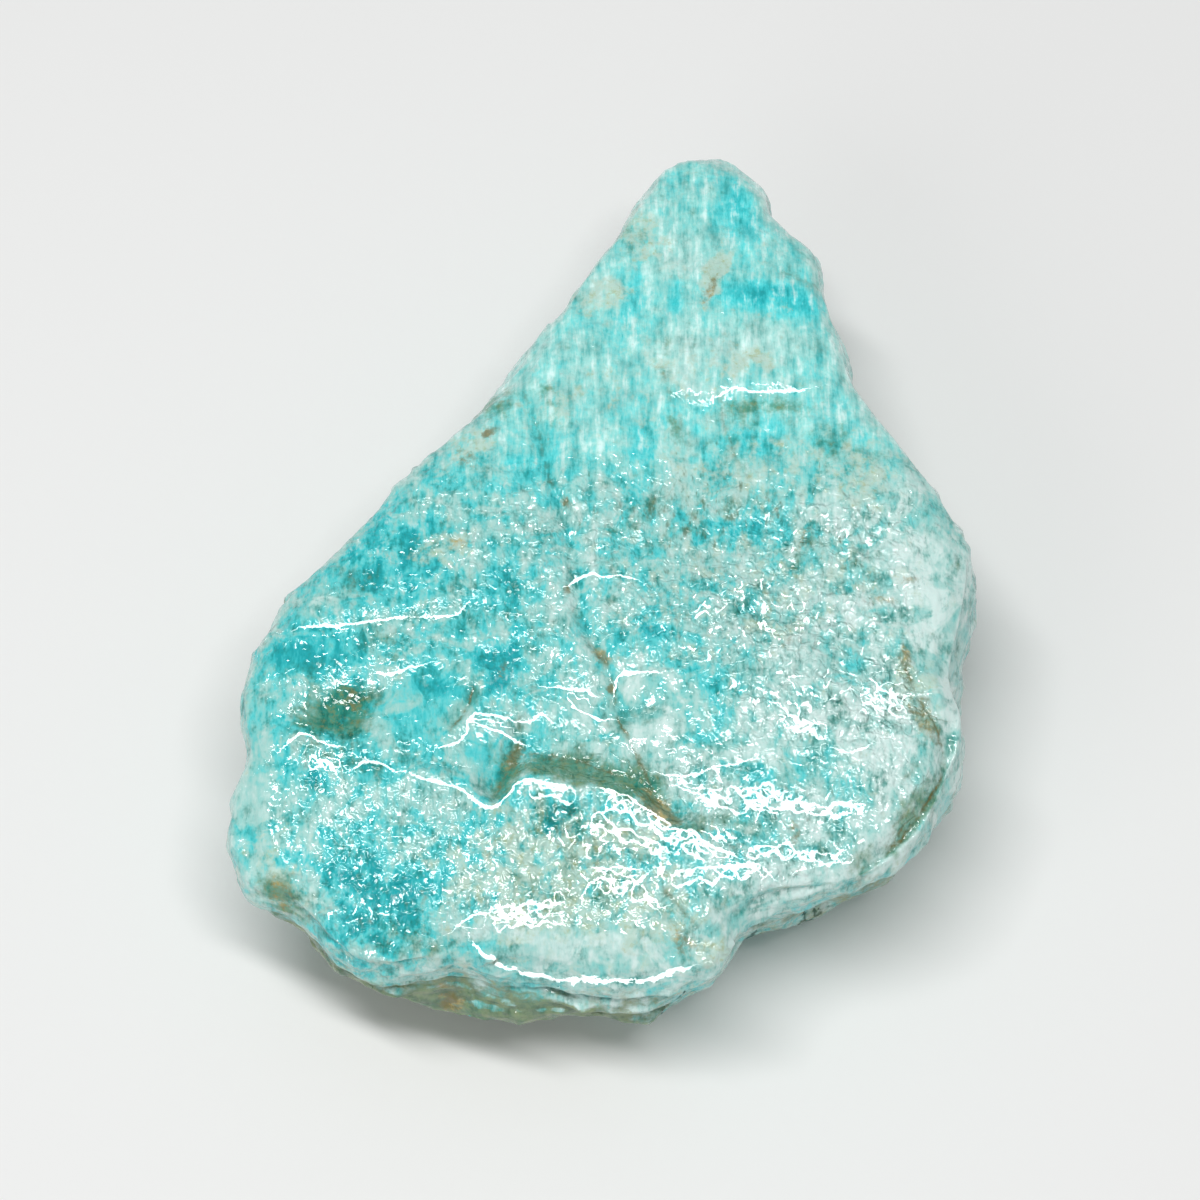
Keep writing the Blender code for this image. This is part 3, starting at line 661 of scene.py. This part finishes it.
# Brown and orange stain
RUST = patches([
    (-20.9, -14.2, 0.7, 1.3, 0.5, 10), (5, -24.3, 2.6, 1.2, 1, -42), (0.2, -10.6, 1.2, 0.7, 1, -45),
    (1.1, -13.4, 0.5, 0.6), (-2.8, -4.6, 0.5, 0.6, 0.9), (-26.8, -30.8, 2.6, 1.6, 0.55, -35),
    (-12.6, -37.2, 1.3, 0.7), (26, -10.6, 0.5, 1.4, 0.9, 20), (27.4, -16.4, 1.1, 2.8, 0.7, 28),
    (23.6, -5.8, 2.4, 1.2, 0.45, 20), (16.6, -9.9, 2.6, 1.3, 0.4), (9.7, 24.9, 0.6, 2.1, 0.75, -24),
    (17.4, 0.4, 0.5, 1.4, 0.7, -30), (26.2, -3.6, 1, 0.5, 0.7, 30), (-9.4, 10.8, 1.1, 0.5, 1, 20),
    (-11.4, 8, 1.2, 1.8, 0.6, 30), (-2.9, 3.9, 0.5, 0.6), (-11.8, 0.2, 1.6, 0.7, 0.6, 30),
    (-17.2, -8.6, 0.6, 1.4, 0.5), (-8.4, -12.6, 0.4, 1.8, 0.6), (-7.2, -19.4, 0.7, 2, 0.9, -22),
    (-14.8, -32, 0.5, 0.8, 0.6), (-9, -28.6, 0.9, 0.9, 0.6), (16.2, -26.6, 0.5, 1.3, 0.8),
    (7, -35.4, 1.2, 1.2, 0.7), (4, -34, 0.6, 0.5, 0.5), (6.2, 5, 0.4, 1.6, 0.5, 10),
])
# Where the rim's steep sides are darkest low down
DARKER_LOW_PATCHES = patches([
    (-20, -36, 16, 7, 1.3, -15), (-6, -38, 10, 5, 1.2), (-26, 2, 8, 12, 0.4, 30),
    (24, -30, 9, 5, 0.5, 30),
])
# Dark specks drawn out along the stone
FRECKLES = patches([
    (8, 3, 11, 5.6, 1, 5), (20, 0, 6, 6, 0.6), (-6, 6, 5, 6, 0.4), (12, -5, 10, 3, 0.5),
    (2, -31, 8, 4, 0.4),
])
# Cracks and seams stained olive or brown
CRACKS = [
    Line([(-2.6, -5.7), (-1.8, -7.3), (-0.9, -9.6), (0.8, -11.4), (1.2, -13.8), (1.3, -15.9)], 0.6),
    Line([(1.3, -15.7), (2.3, -18.1), (3.1, -19.6), (3.8, -21), (4.8, -22.9)], 0.9),
    Line([(3.4, -22), (4.3, -23.4), (5.2, -24.4), (6.2, -25.2), (6.9, -26.1)], 1),
    Line([(-6.5, -17.3), (-7.1, -18.8), (-7.5, -20.4), (-8.3, -22), (-9.2, -23.9)], 1),
    Line([(-10.6, -13.1), (-11, -14.8), (-11.5, -15.9), (-12.3, -17), (-12.9, -17.9)], 1),
    Line([(-8.1, -10.8), (-7.5, -12.1), (-7.5, -13.7), (-7.1, -15.1), (-6.6, -17.7)], 0.5),
    Line([(-6.9, 15.6), (-6, 13), (-5.3, 11.1), (-5.1, 9), (-4.7, 7.3), (-3.9, 4.7)], 0.35),
    Line([(5, 18), (5.7, 15.7), (6.2, 13.9), (6.9, 12.5), (7.3, 10.8)], 0.4),
    Line([(10.4, 14.6), (10.7, 12.5), (11, 10.7), (11.6, 9), (12.2, 7.5), (13.8, 4.4)], 0.45),
    Line([(25.1, -9.7), (26, -12.1), (27.1, -14.9), (28.4, -17), (29, -19.1), (28.9, -20.5)], 0.9),
    Line([(28.9, -20.3), (28.2, -22.1), (27, -24.2), (25.4, -26.3), (23.6, -28)], 1.2),
    Line([(26.9, -20.1), (26.2, -21.2), (25.3, -22.1)], 0.8),
    Line([(25.9, -24.3), (24.7, -25.7), (23.9, -27.2)], 0.7),
    Line([(25.4, -13), (26.4, -13.8), (27.4, -14), (28.2, -15)], 0.8),
    Line([(25.8, -15.6), (27, -15.9), (28.3, -15.6)], 0.8),
    Line([(26.4, -17.4), (27.4, -17), (28.6, -17.6)], 0.8),
    Line([(23.8, -28), (22.4, -29.2), (21.3, -30.5)], 0.7),
    Line([(-6.4, -18.8), (-4.7, -19.6), (-3.4, -20), (-2.4, -20), (-1, -19.5)], 0.7),
    Line([(-1.2, -24.1), (0.8, -25.7), (3.2, -28.7), (4.9, -31.1)], 0.5),
    Line([(4.9, -31.1), (6.6, -32.8), (8.2, -34.5)], 0.8),
    Line([(-8.3, -19.9), (-6.1, -19.1), (-3.7, -19.3), (-1.2, -19.9), (1.8, -21.2)], 1),
    Line([(15.1, 27.3), (16.8, 26.8), (18.2, 26.1), (19.9, 25.8)], 0.4),
    Line([(-21.4, -1.8), (-21.2, -3.4), (-21.3, -5.2)], 0.5),
]
CURVATURE_SCALE = 18.0
CURVATURE_ROUNDS = 3
# What counts as the top, as rolling over to the rim, and as the side, by the normal's height
TOP_NORMAL = (-0.1, 0.5)
ROLLED_NORMAL = (0.92, 0.7)
SIDE_NORMAL = (0.8, 0.35)
# Heights between which the steep sides darken towards the bottom
DARK_LOW_HEIGHT = (16.5, 10.0)
# The bluer left side, the paler right side and the ribbed upper part, by where each fades in
LEFT_X, LEFT_Y = (4.0, -22.0), (12.0, 2.0)
RIGHT_X, RIGHT_Y = (4.0, 24.0), (7.0, -8.0)
RIBBED_Y = (2.0, 13.0)
RIBBED_WANDER = 3.0
# How the patches' edges wander
WANDER_SIZE = 3.4
WANDER = 1.1
RUST_WANDER = 0.3


def curvature(mesh, points, normals):
    """How far each point stands out from the mean of its neighbours, in millimetres."""
    edges = np.empty(len(mesh.edges) * 2, int)
    mesh.edges.foreach_get("vertices", edges)
    a, b = edges.reshape(-1, 2).T
    ends, others = np.concatenate([a, b]), np.concatenate([b, a])
    total = len(points)
    count = np.bincount(ends, minlength=total)
    sums = [np.bincount(ends, points[others, axis], total) for axis in range(3)]
    bend = ((points - np.stack(sums, 1) / count[:, None]) * normals).sum(1)
    for _ in range(CURVATURE_ROUNDS):
        bend = 0.5 * bend + 0.5 * np.bincount(ends, bend[others], total) / count
    return bend


def paint_masks(mesh):
    """Stores at each point how strong each colour, stain and fine form is there."""
    at, normals = surface(mesh)
    up = normals[:, 2]
    x, y, z = at[:, 0] - PLAN_SHIFT[0], at[:, 1] - PLAN_SHIFT[1], at[:, 2]
    top = smoothstep(*TOP_NORMAL, up)
    rolled = top * smoothstep(*ROLLED_NORMAL, up)
    side = smoothstep(*SIDE_NORMAL, up)
    wander_x = rough(at, WANDER_SIZE, octaves=3, seed=31)
    wander_y = rough(at, WANDER_SIZE, octaves=3, seed=32)
    wx, wy = x + WANDER * wander_x, y + WANDER * wander_y
    left = smoothstep(*LEFT_X, x) * smoothstep(*LEFT_Y, y)
    right = smoothstep(*RIGHT_X, x) * smoothstep(*RIGHT_Y, y)
    pale = np.maximum(cover(PALE, wx, wy), 0.9 * rolled)
    calm = cover(CALM, wx, wy)
    sparkling = SPARKLE_ELSEWHERE + (1.0 - SPARKLE_ELSEWHERE) * cover(SPARKLING, wx, wy)
    low_dark_tone = 0.3 + 0.8 * cover(DARKER_LOW_PATCHES, x, y)
    lip_side, lip_rise = line_fields(LIPS, x, y)
    crack_side, crack_ink = line_fields(CRACKS, x, y)
    masks = {
        "teal": top * np.clip(cover(TEAL, wx, wy) + 0.35 * left - 0.3 * right, -0.3, 1.6),
        "pale": top * np.clip(pale + 0.3 * right, 0.0, 1.2),
        "cream": top * cover(CREAM, wx, wy) + (1.0 - top) * 0.5,
        "olive": top * cover(OLIVE, wx, wy),
        "rust": top * cover(RUST, x + RUST_WANDER * wander_x, y + RUST_WANDER * wander_y),
        "freckles": top * cover(FRECKLES, wx, wy),
        "sparkle": top * sparkling * (1.0 - 0.9 * calm),
        "calm": calm,
        "ribbed": top * smoothstep(*RIBBED_Y, y + RIBBED_WANDER * wander_x),
        "rim": 1.0 - top,
        # How far each point stands out: the material paints shade in hollows and light on ridges
        # from it
        "proud": np.clip(curvature(mesh, at, normals) * CURVATURE_SCALE, -1.0, 1.0),
        # Darker low on the steep sides, most where the darker-low patches lie
        "darker_low": side * smoothstep(*DARK_LOW_HEIGHT, z) * low_dark_tone,
        "lip_side": lip_side,
        "lip_rise": top * lip_rise,
        "crack_side": crack_side,
        "crack_ink": top * crack_ink,
    }
    for name, values in masks.items():
        layer = mesh.attributes.new(name, "FLOAT", "POINT")
        layer.data.foreach_set("value", values.astype(np.float32))


class Graph:
    """Adds nodes to a material and joins them up."""

    def __init__(self, material):
        self.tree = material.node_tree

    def join(self, value, socket):
        if isinstance(value, bpy.types.NodeSocket):
            self.tree.links.new(value, socket)
        else:
            socket.default_value = value

    def node(self, kind, inputs, **settings):
        made = self.tree.nodes.new(kind)
        for name, value in settings.items():
            setattr(made, name, value)
        for key, value in inputs.items():
            self.join(value, made.inputs[key])
        return made

    def math(self, operation, *values):
        made = self.node("ShaderNodeMath", dict(enumerate(values)), operation=operation)
        return made.outputs[0]

    def vector(self, operation, inputs):
        return self.node("ShaderNodeVectorMath", inputs, operation=operation).outputs[0]

    def times(self, first, *others):
        for other in others:
            first = self.math("MULTIPLY", first, other)
        return first

    def total(self, first, *shares):
        """The first value plus each share, which is a value and its weight."""
        for value, weight in shares:
            first = self.math("MULTIPLY_ADD", value, weight, first)
        return first

    def mask(self, name):
        return self.node("ShaderNodeAttribute", {}, attribute_name=name).outputs["Fac"]

    def span(self, value, low, high, to_low=0.0, to_high=1.0):
        """The value's smooth way from low to high, as a number from to_low to to_high."""
        made = self.node(
            "ShaderNodeMapRange",
            {
                "Value": value, "From Min": low, "From Max": high,
                "To Min": to_low, "To Max": to_high,
            },
            interpolation_type="SMOOTHSTEP",
        )
        return made.outputs["Result"]

    def noise(self, place, scale, detail, roughness, distortion=0.0):
        """Noise of about -1 to 1."""
        made = self.node(
            "ShaderNodeTexNoise",
            {
                "Vector": place, "Scale": scale, "Detail": detail,
                "Roughness": roughness, "Distortion": distortion,
            },
        )
        return self.math("MULTIPLY_ADD", made.outputs["Fac"], 4.0, -2.0)

    def cells(self, place, scale):
        made = self.node("ShaderNodeTexVoronoi", {"Vector": place, "Scale": scale})
        return made.outputs["Distance"]

    def near(self, side, width):
        """1 on a line and 0 away from it, from the distance off it."""
        scaled = self.math("DIVIDE", side, width)
        return self.math("EXPONENT", self.times(scaled, scaled, -1.0))

    def drawn(self, place, scale):
        return self.vector("MULTIPLY", {0: place, 1: scale})

    def mix(self, share, first, second):
        """The first colour where the share is 0, and the second where it is 1."""
        made = self.node("ShaderNodeMix", {0: share, 6: first, 7: second}, data_type="RGBA")
        return made.outputs[2]

    def ramp(self, value, stops):
        made = self.node("ShaderNodeValToRGB", {"Fac": value})
        elements = made.color_ramp.elements
        for place, colour in stops[2:]:
            elements.new(place)
        for element, (place, colour) in zip(elements, sorted(stops)):
            element.position = place
            element.color = (*colour, 1.0)
        return made.outputs["Color"]

    def bump(self, height):
        """The normal on relief whose height is in millimetres."""
        return self.node("ShaderNodeBump", {"Height": height, "Distance": MM}).outputs[0]

    def tilted(self, share, normal, facing):
        """The normal turned towards a direction given in the stone's own axes."""
        facing = self.node(
            "ShaderNodeVectorTransform", {"Vector": facing},
            vector_type="NORMAL", convert_from="OBJECT", convert_to="WORLD",
        ).outputs[0]
        made = self.node("ShaderNodeMix", {0: share, 4: normal, 5: facing}, data_type="VECTOR")
        return self.vector("NORMALIZE", {0: made.outputs[1]})


# The mineral's colours from its most saturated to its palest, linear
MINERAL = [
    (0.06, (0.01, 0.40, 0.43)),
    (0.22, (0.045, 0.56, 0.585)),
    (0.37, (0.12, 0.66, 0.665)),
    (0.54, (0.27, 0.66, 0.62)),
    (0.74, (0.43, 0.71, 0.66)),
    (1.0, (0.68, 0.86, 0.82)),
]
# Colours the tone darkens and lightens towards, also used for painted shade in hollows and painted
# light on ridges
DEEP_COLOUR = (0.015, 0.22, 0.18, 1.0)
LIGHT_COLOUR = (0.70, 0.88, 0.85, 1.0)
CREAM_COLOUR = (0.52, 0.71, 0.61, 1.0)
TAN = (0.44, 0.53, 0.32, 1.0)
OLIVE_TINT = (0.32, 0.46, 0.34)
OLIVE_COLOUR = (0.035, 0.20, 0.15, 1.0)
OLIVE_PALE = (0.13, 0.38, 0.29, 1.0)
BROWN_GREEN = (0.21, 0.27, 0.11, 1.0)
SPECK_COLOUR = (0.08, 0.14, 0.06, 1.0)
CRACK_COLOUR = (0.11, 0.13, 0.045, 1.0)
BROWN_COLOUR = (0.20, 0.17, 0.06, 1.0)
ORANGE = (0.52, 0.36, 0.11, 1.0)
# How noise is drawn out: into streaks, with the grain, and in flat layers
STREAKED, GRAINED, LAYERED = (1.0, 0.15, 0.15), (1.0, 0.42, 0.42), (0.14, 0.14, 1.0)
SEAM_WIDTH, HALO_WIDTH, FURROW_WIDTH = 0.17, 0.7, 0.3
# The wet lips: their width and edge, and the way their normal leans, which changes up the stone
LIP_WIDTH = 0.095
LIP_FADE = 0.16
LIP_TILT = -0.27
LIP_LEAN = -0.0018
LIP_ACROSS, LIP_UP = -0.02, 0.963
# The web of small glints: its strands' width and edge
WEB_WIDTH = 0.11
WEB_FADE = 0.09
# What is the same all over the stone
WET_STONE = {
    "IOR": 1.5,
    "Specular IOR Level": 0.6,
    "Subsurface Weight": 0.1,
    "Subsurface Radius": (0.7, 1.0, 0.95),
    "Subsurface Scale": 0.0012,
}


def principled(name, settings):
    """A new material, and its shader with these inputs set."""
    material = bpy.data.materials.new(name)
    material.use_nodes = True
    shader = material.node_tree.nodes["Principled BSDF"]
    for key, value in settings.items():
        shader.inputs[key].default_value = value
    return material, shader


# From here, g is the material's graph, and f holds what its parts share
def shared_fields(g):
    """The places in millimetres, the masks and the noises that several parts use."""
    f = SimpleNamespace()
    place = g.node("ShaderNodeTexCoord", {}).outputs["Object"]
    f.mm = g.drawn(place, (1.0 / MM,) * 3)
    f.along = g.drawn(f.mm, STREAKED)
    f.grain = g.drawn(f.mm, GRAINED)
    layers = g.drawn(f.mm, LAYERED)

    f.ribbed = g.mask("ribbed")
    f.plain = g.math("SUBTRACT", 1.0, f.ribbed)
    f.rim = g.mask("rim")
    f.proud = g.mask("proud")

    f.blotches = g.noise(f.mm, 0.45, 4.0, 0.72)
    f.mid = g.noise(f.grain, 1.2, 3.0, 0.6)
    f.other = g.noise(f.mm, 0.7, 3.0, 0.65)
    f.fine = g.noise(f.grain, 2.6, 2.0, 0.65)
    f.beds = g.noise(layers, 1.3, 3.0, 0.6)
    f.rusty = g.noise(f.mm, 1.5, 3.0, 0.7)

    f.wobble = g.noise(f.mm, 1.1, 2.0, 0.6)
    f.crack_side = g.total(g.mask("crack_side"), (f.wobble, 0.22))
    f.crack_ink = g.mask("crack_ink")
    return f


def mineral_colour(g, f):
    """The mineral between blue-green and white, drawn out into streaks where it is ribbed, with
    painted shade in hollows and painted light on ridges.
    """
    mottled = g.times(f.plain, g.total(1.0, (g.mask("calm"), -0.5)))
    veils = g.span(g.noise(f.mm, 0.30, 3.0, 0.62, 0.8), -0.3, 0.3, -1.0, 1.0)
    streaks = g.noise(f.along, 1.2, 3.0, 0.68)
    # Paler where the surface stands out (proud): painted light on ridges
    paleness = g.total(
        0.56,
        (g.mask("teal"), -0.34),
        (g.mask("pale"), 0.18),
        (f.ribbed, -0.05),
        (g.times(veils, g.total(0.14, (f.ribbed, -0.11))), 1.0),
        (g.times(f.mid, g.total(mottled, (f.ribbed, 0.45))), 0.24),
        (g.times(streaks, g.total(0.09, (f.ribbed, 0.03))), 1.0),
        (f.fine, 0.09),
        (g.times(f.beds, f.rim), 0.1),
        (f.proud, 0.12),
    )
    colour = g.ramp(paleness, MINERAL)
    # Tone that wanders at random, with painted shade in hollows and painted light on ridges from
    # the proud mask, weaker on the rim
    shade = g.total(
        g.times(f.proud, g.total(-0.6, (f.rim, 0.3))),
        (g.times(f.blotches, g.total(0.8, (f.ribbed, -0.35))), 1.0),
        (veils, -0.12),
        (f.plain, 0.14),
        (g.times(f.fine, g.total(mottled, (f.ribbed, 0.5))), -0.6),
        (g.times(streaks, f.ribbed), -1.1),
    )
    deep = g.times(g.span(shade, -0.05, 1.25), g.total(0.85, (f.ribbed, -0.45)))
    colour = g.mix(deep, colour, DEEP_COLOUR)
    light = g.times(g.span(shade, -0.1, -1.3), 0.65)
    colour = g.mix(light, colour, LIGHT_COLOUR)
    glow = g.total(0.12, (f.blotches, -0.22), (f.mid, 0.12), (streaks, 0.1))
    factor = g.total(1.0, (g.times(f.ribbed, glow), 1.0))
    return g.vector("SCALE", {0: colour, "Scale": factor})


def with_stains(g, f, colour):
    """The colour with its cream, olive stain and painted shade, specks and rust, darker low on the
    steep sides.
    """
    warm = g.total(g.mask("cream"), (f.other, 0.6), (f.mid, 0.3))
    cream = g.mix(g.span(f.rusty, -0.1, 0.8), CREAM_COLOUR, TAN)
    colour = g.mix(g.times(g.span(warm, 0.25, 0.95), 0.85), colour, cream)

    # Olive stain, partly painted shade: the patch under the top ledge, and more olive in hollows
    # from the proud mask
    olive_stain_and_shade = g.total(
        g.mask("olive"), (f.other, -0.4), (f.blotches, 0.35), (f.mid, 0.2), (f.proud, -0.2)
    )
    brown = g.times(g.span(f.rusty, -0.1, 0.7), 0.7)
    olive = g.mix(brown, g.drawn(colour, OLIVE_TINT), BROWN_GREEN)
    colour = g.mix(g.span(olive_stain_and_shade, 0.15, 1.1), colour, olive)

    # Darker low on the steep sides, broken up by noise
    darker_low = g.total(g.mask("darker_low"), (f.beds, 0.15), (f.other, 0.25), (f.blotches, 0.2))
    low_dark_tone = g.mix(g.span(f.other, -0.6, 0.6), SPECK_COLOUR, BROWN_GREEN)
    colour = g.mix(g.times(g.span(darker_low, 0.15, 0.8), 0.88), colour, low_dark_tone)

    dotted = g.noise(f.grain, 1.7, 2.0, 0.65)
    specks = g.total(g.times(g.mask("freckles"), 0.7), (dotted, 0.85))
    colour = g.mix(g.times(g.span(specks, 0.75, 1.35), 0.65), colour, SPECK_COLOUR)
    # Painted shade: hollows from the proud mask darkened towards olive, broken up by noise
    pits = g.total(g.times(f.proud, -0.8), (f.mid, -0.5))
    colour = g.mix(g.times(g.span(pits, 0.4, 1.2), 0.35), colour, OLIVE_COLOUR)

    rust = g.total(g.mask("rust"), (f.rusty, 0.35))
    orange = g.mix(g.span(f.other, -0.15, 0.6), BROWN_COLOUR, ORANGE)
    return g.mix(g.times(g.span(rust, 0.3, 1.0), 0.85), colour, orange)


def with_cracks(g, f, colour):
    """The colour with a dark seam along each crack, and an olive halo beside it."""
    seam = g.times(g.near(f.crack_side, SEAM_WIDTH), f.crack_ink)
    halo = g.times(g.near(f.crack_side, HALO_WIDTH), f.crack_ink)
    broken = g.span(f.blotches, -0.6, 0.5, 0.15, 1.0)
    colour = g.mix(g.times(halo, broken, 0.45), colour, OLIVE_PALE)
    seam_colour = g.mix(g.span(f.rusty, -0.3, 0.5), CRACK_COLOUR, BROWN_COLOUR)
    return g.mix(g.times(seam, broken, 0.9), colour, seam_colour)


def wet_normal(g, f):
    """The normal on the fine relief, leant towards the light on the lips and the web of glints."""
    sparkle = g.times(g.mask("sparkle"), g.total(1.0, (f.ribbed, -0.6)))
    groove = g.times(g.near(f.crack_side, FURROW_WIDTH), f.crack_ink)
    relief = g.total(
        g.times(g.noise(f.mm, 0.55, 1.0, 0.5, 0.6), 0.056),
        (g.times(g.noise(f.mm, 1.3, 1.0, 0.5, 0.6), sparkle), 0.14),
        (g.times(g.cells(f.mm, 1.2), sparkle), -0.03),
        (g.times(g.noise(f.along, 2.2, 1.0, 0.5), f.ribbed), 0.02),
        (g.times(f.beds, f.rim), 0.05),
        (groove, -0.08),
    )
    lip_side = g.total(g.mask("lip_side"), (f.wobble, 0.16), (f.fine, 0.05))
    uneven = g.span(f.other, -0.4, 0.4, 0.3 * LIP_WIDTH, LIP_WIDTH)
    lip_width = g.times(g.mask("lip_rise"), uneven)
    lip_edge = g.math("SUBTRACT", lip_width, g.math("ABSOLUTE", lip_side))
    lip = g.span(lip_edge, -LIP_FADE, 0.0)

    strands = g.math("ABSOLUTE", g.noise(f.mm, 0.75, 0.6, 0.5, 0.5))
    webbed = g.total(sparkle, (f.other, 0.45), (f.fine, 0.45))
    web_width = g.span(webbed, 0.75, 1.3, -WEB_WIDTH, WEB_WIDTH)
    web = g.span(g.math("SUBTRACT", web_width, strands), -WEB_FADE, 0.0)

    y = g.node("ShaderNodeSeparateXYZ", {"Vector": f.mm}).outputs["Y"]
    lean = g.math("MULTIPLY_ADD", y, LIP_LEAN, LIP_TILT)
    facing = g.node("ShaderNodeCombineXYZ", {"X": LIP_ACROSS, "Y": lean, "Z": LIP_UP})
    lit = g.math("MAXIMUM", lip, web)
    return g.tilted(lit, g.bump(relief), facing.outputs[0])


def wet_amazonite():
    material, shader = principled("wet_amazonite_fine", WET_STONE)
    g = Graph(material)
    f = shared_fields(g)
    colour = with_cracks(g, f, with_stains(g, f, mineral_colour(g, f)))
    g.join(colour, shader.inputs["Base Color"])
    dull = g.total(g.span(f.blotches, -0.4, 0.8, 0.07, 0.15), (f.rim, 0.12))
    g.join(dull, shader.inputs["Roughness"])
    g.join(wet_normal(g, f), shader.inputs["Normal"])
    return material


def build_stone():
    bm = blank()
    chip_rim(bm)
    nick_rim(bm)
    chipped = bpy.data.meshes.new("chipped")
    bm.to_mesh(chipped)
    bm.free()
    worked = soften(chipped)
    work_surface(worked)
    mesh = thinned(worked)
    cut_back_flat(mesh)
    paint_masks(mesh)
    mesh.shade_smooth()
    mesh.materials.clear()
    mesh.materials.append(wet_amazonite())
    return add_object("raw_amazonite_stone", mesh)


FLOOR_HALF = 1.6
PALE_FLOOR = {
    "Base Color": (0.84, 0.84, 0.83, 1.0),
    "Roughness": 0.7,
    "Specular IOR Level": 0.2,
}


def build_floor():
    mesh = bpy.data.meshes.new("floor")
    signs = ((-1, -1), (1, -1), (1, 1), (-1, 1))
    mesh.from_pydata([(FLOOR_HALF * x, FLOOR_HALF * y, 0) for x, y in signs], [], [(0, 1, 2, 3)])
    floor = add_object("pale_floor", mesh)
    material, _ = principled("pale_floor", PALE_FLOOR)
    mesh.materials.append(material)


# Studio: sizes in metres, powers in watts
VIEW_ELEVATION_DEG = 65.0
VIEW_DISTANCE = 0.45
VIEW_LENS = 153.9
VIEW_SENSOR = 36.0
VIEW_CLIP = (0.01, 20.0)
VIEW_TARGET = Vector((-0.0005, -0.0006, 0.0113))
KEY_TOWARDS_CAMERA_DEG = 6.0
KEY_DISTANCE = 0.62
KEY_SIDEWAYS = -0.05
KEY_SIZE = (0.5, 0.07)
KEY_POWER = 2.9
FILL_OFFSET = Vector((-0.55, -0.6, 0.5))
FILL_SIZE = (0.6, 0.6)
FILL_POWER = 1.4
SKY_COLOUR = (0.97, 0.985, 1.0, 1.0)
SKY_STRENGTH = 0.28


def add_facing(name, data, place, way):
    """An object at this place that looks this way."""
    made = add_object(name, data)
    made.location = place
    made.rotation_mode = "QUATERNION"
    made.rotation_quaternion = way.to_track_quat("-Z", "Y")
    return made


def softbox(name, offset, size, power):
    light = bpy.data.lights.new(name, "AREA")
    light.shape = "RECTANGLE"
    light.size, light.size_y = size
    light.energy = power
    place = VIEW_TARGET + offset
    add_facing(name, light, place, VIEW_TARGET - place)


def build_studio():
    world = bpy.data.worlds.new("studio")
    bpy.context.scene.world = world
    world.use_nodes = True
    background = world.node_tree.nodes["Background"]
    background.inputs["Color"].default_value = SKY_COLOUR
    background.inputs["Strength"].default_value = SKY_STRENGTH

    tilt = math.radians(KEY_TOWARDS_CAMERA_DEG)
    key_offset = KEY_DISTANCE * Vector((KEY_SIDEWAYS, -math.sin(tilt), math.cos(tilt)))
    softbox("key", key_offset, KEY_SIZE, KEY_POWER)
    softbox("fill", FILL_OFFSET, FILL_SIZE, FILL_POWER)

    camera_data = bpy.data.cameras.new("camera")
    camera_data.lens = VIEW_LENS
    camera_data.sensor_width = VIEW_SENSOR
    camera_data.clip_start, camera_data.clip_end = VIEW_CLIP
    elevation = math.radians(VIEW_ELEVATION_DEG)
    back = Vector((0.0, -math.cos(elevation), math.sin(elevation)))
    camera = add_facing("camera", camera_data, VIEW_TARGET + back * VIEW_DISTANCE, -back)
    bpy.context.scene.camera = camera
    bpy.context.scene.view_settings.view_transform = "Standard"


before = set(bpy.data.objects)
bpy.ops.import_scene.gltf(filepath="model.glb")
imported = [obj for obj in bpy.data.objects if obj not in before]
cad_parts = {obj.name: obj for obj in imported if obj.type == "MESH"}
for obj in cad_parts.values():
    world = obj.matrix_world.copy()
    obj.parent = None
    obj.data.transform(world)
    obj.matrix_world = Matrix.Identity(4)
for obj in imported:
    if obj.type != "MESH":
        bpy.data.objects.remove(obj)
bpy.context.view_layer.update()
stone = build_stone()
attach(stone, "root")
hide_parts("amazonite_stone")
build_floor()
build_studio()
bpy.context.view_layer.update()
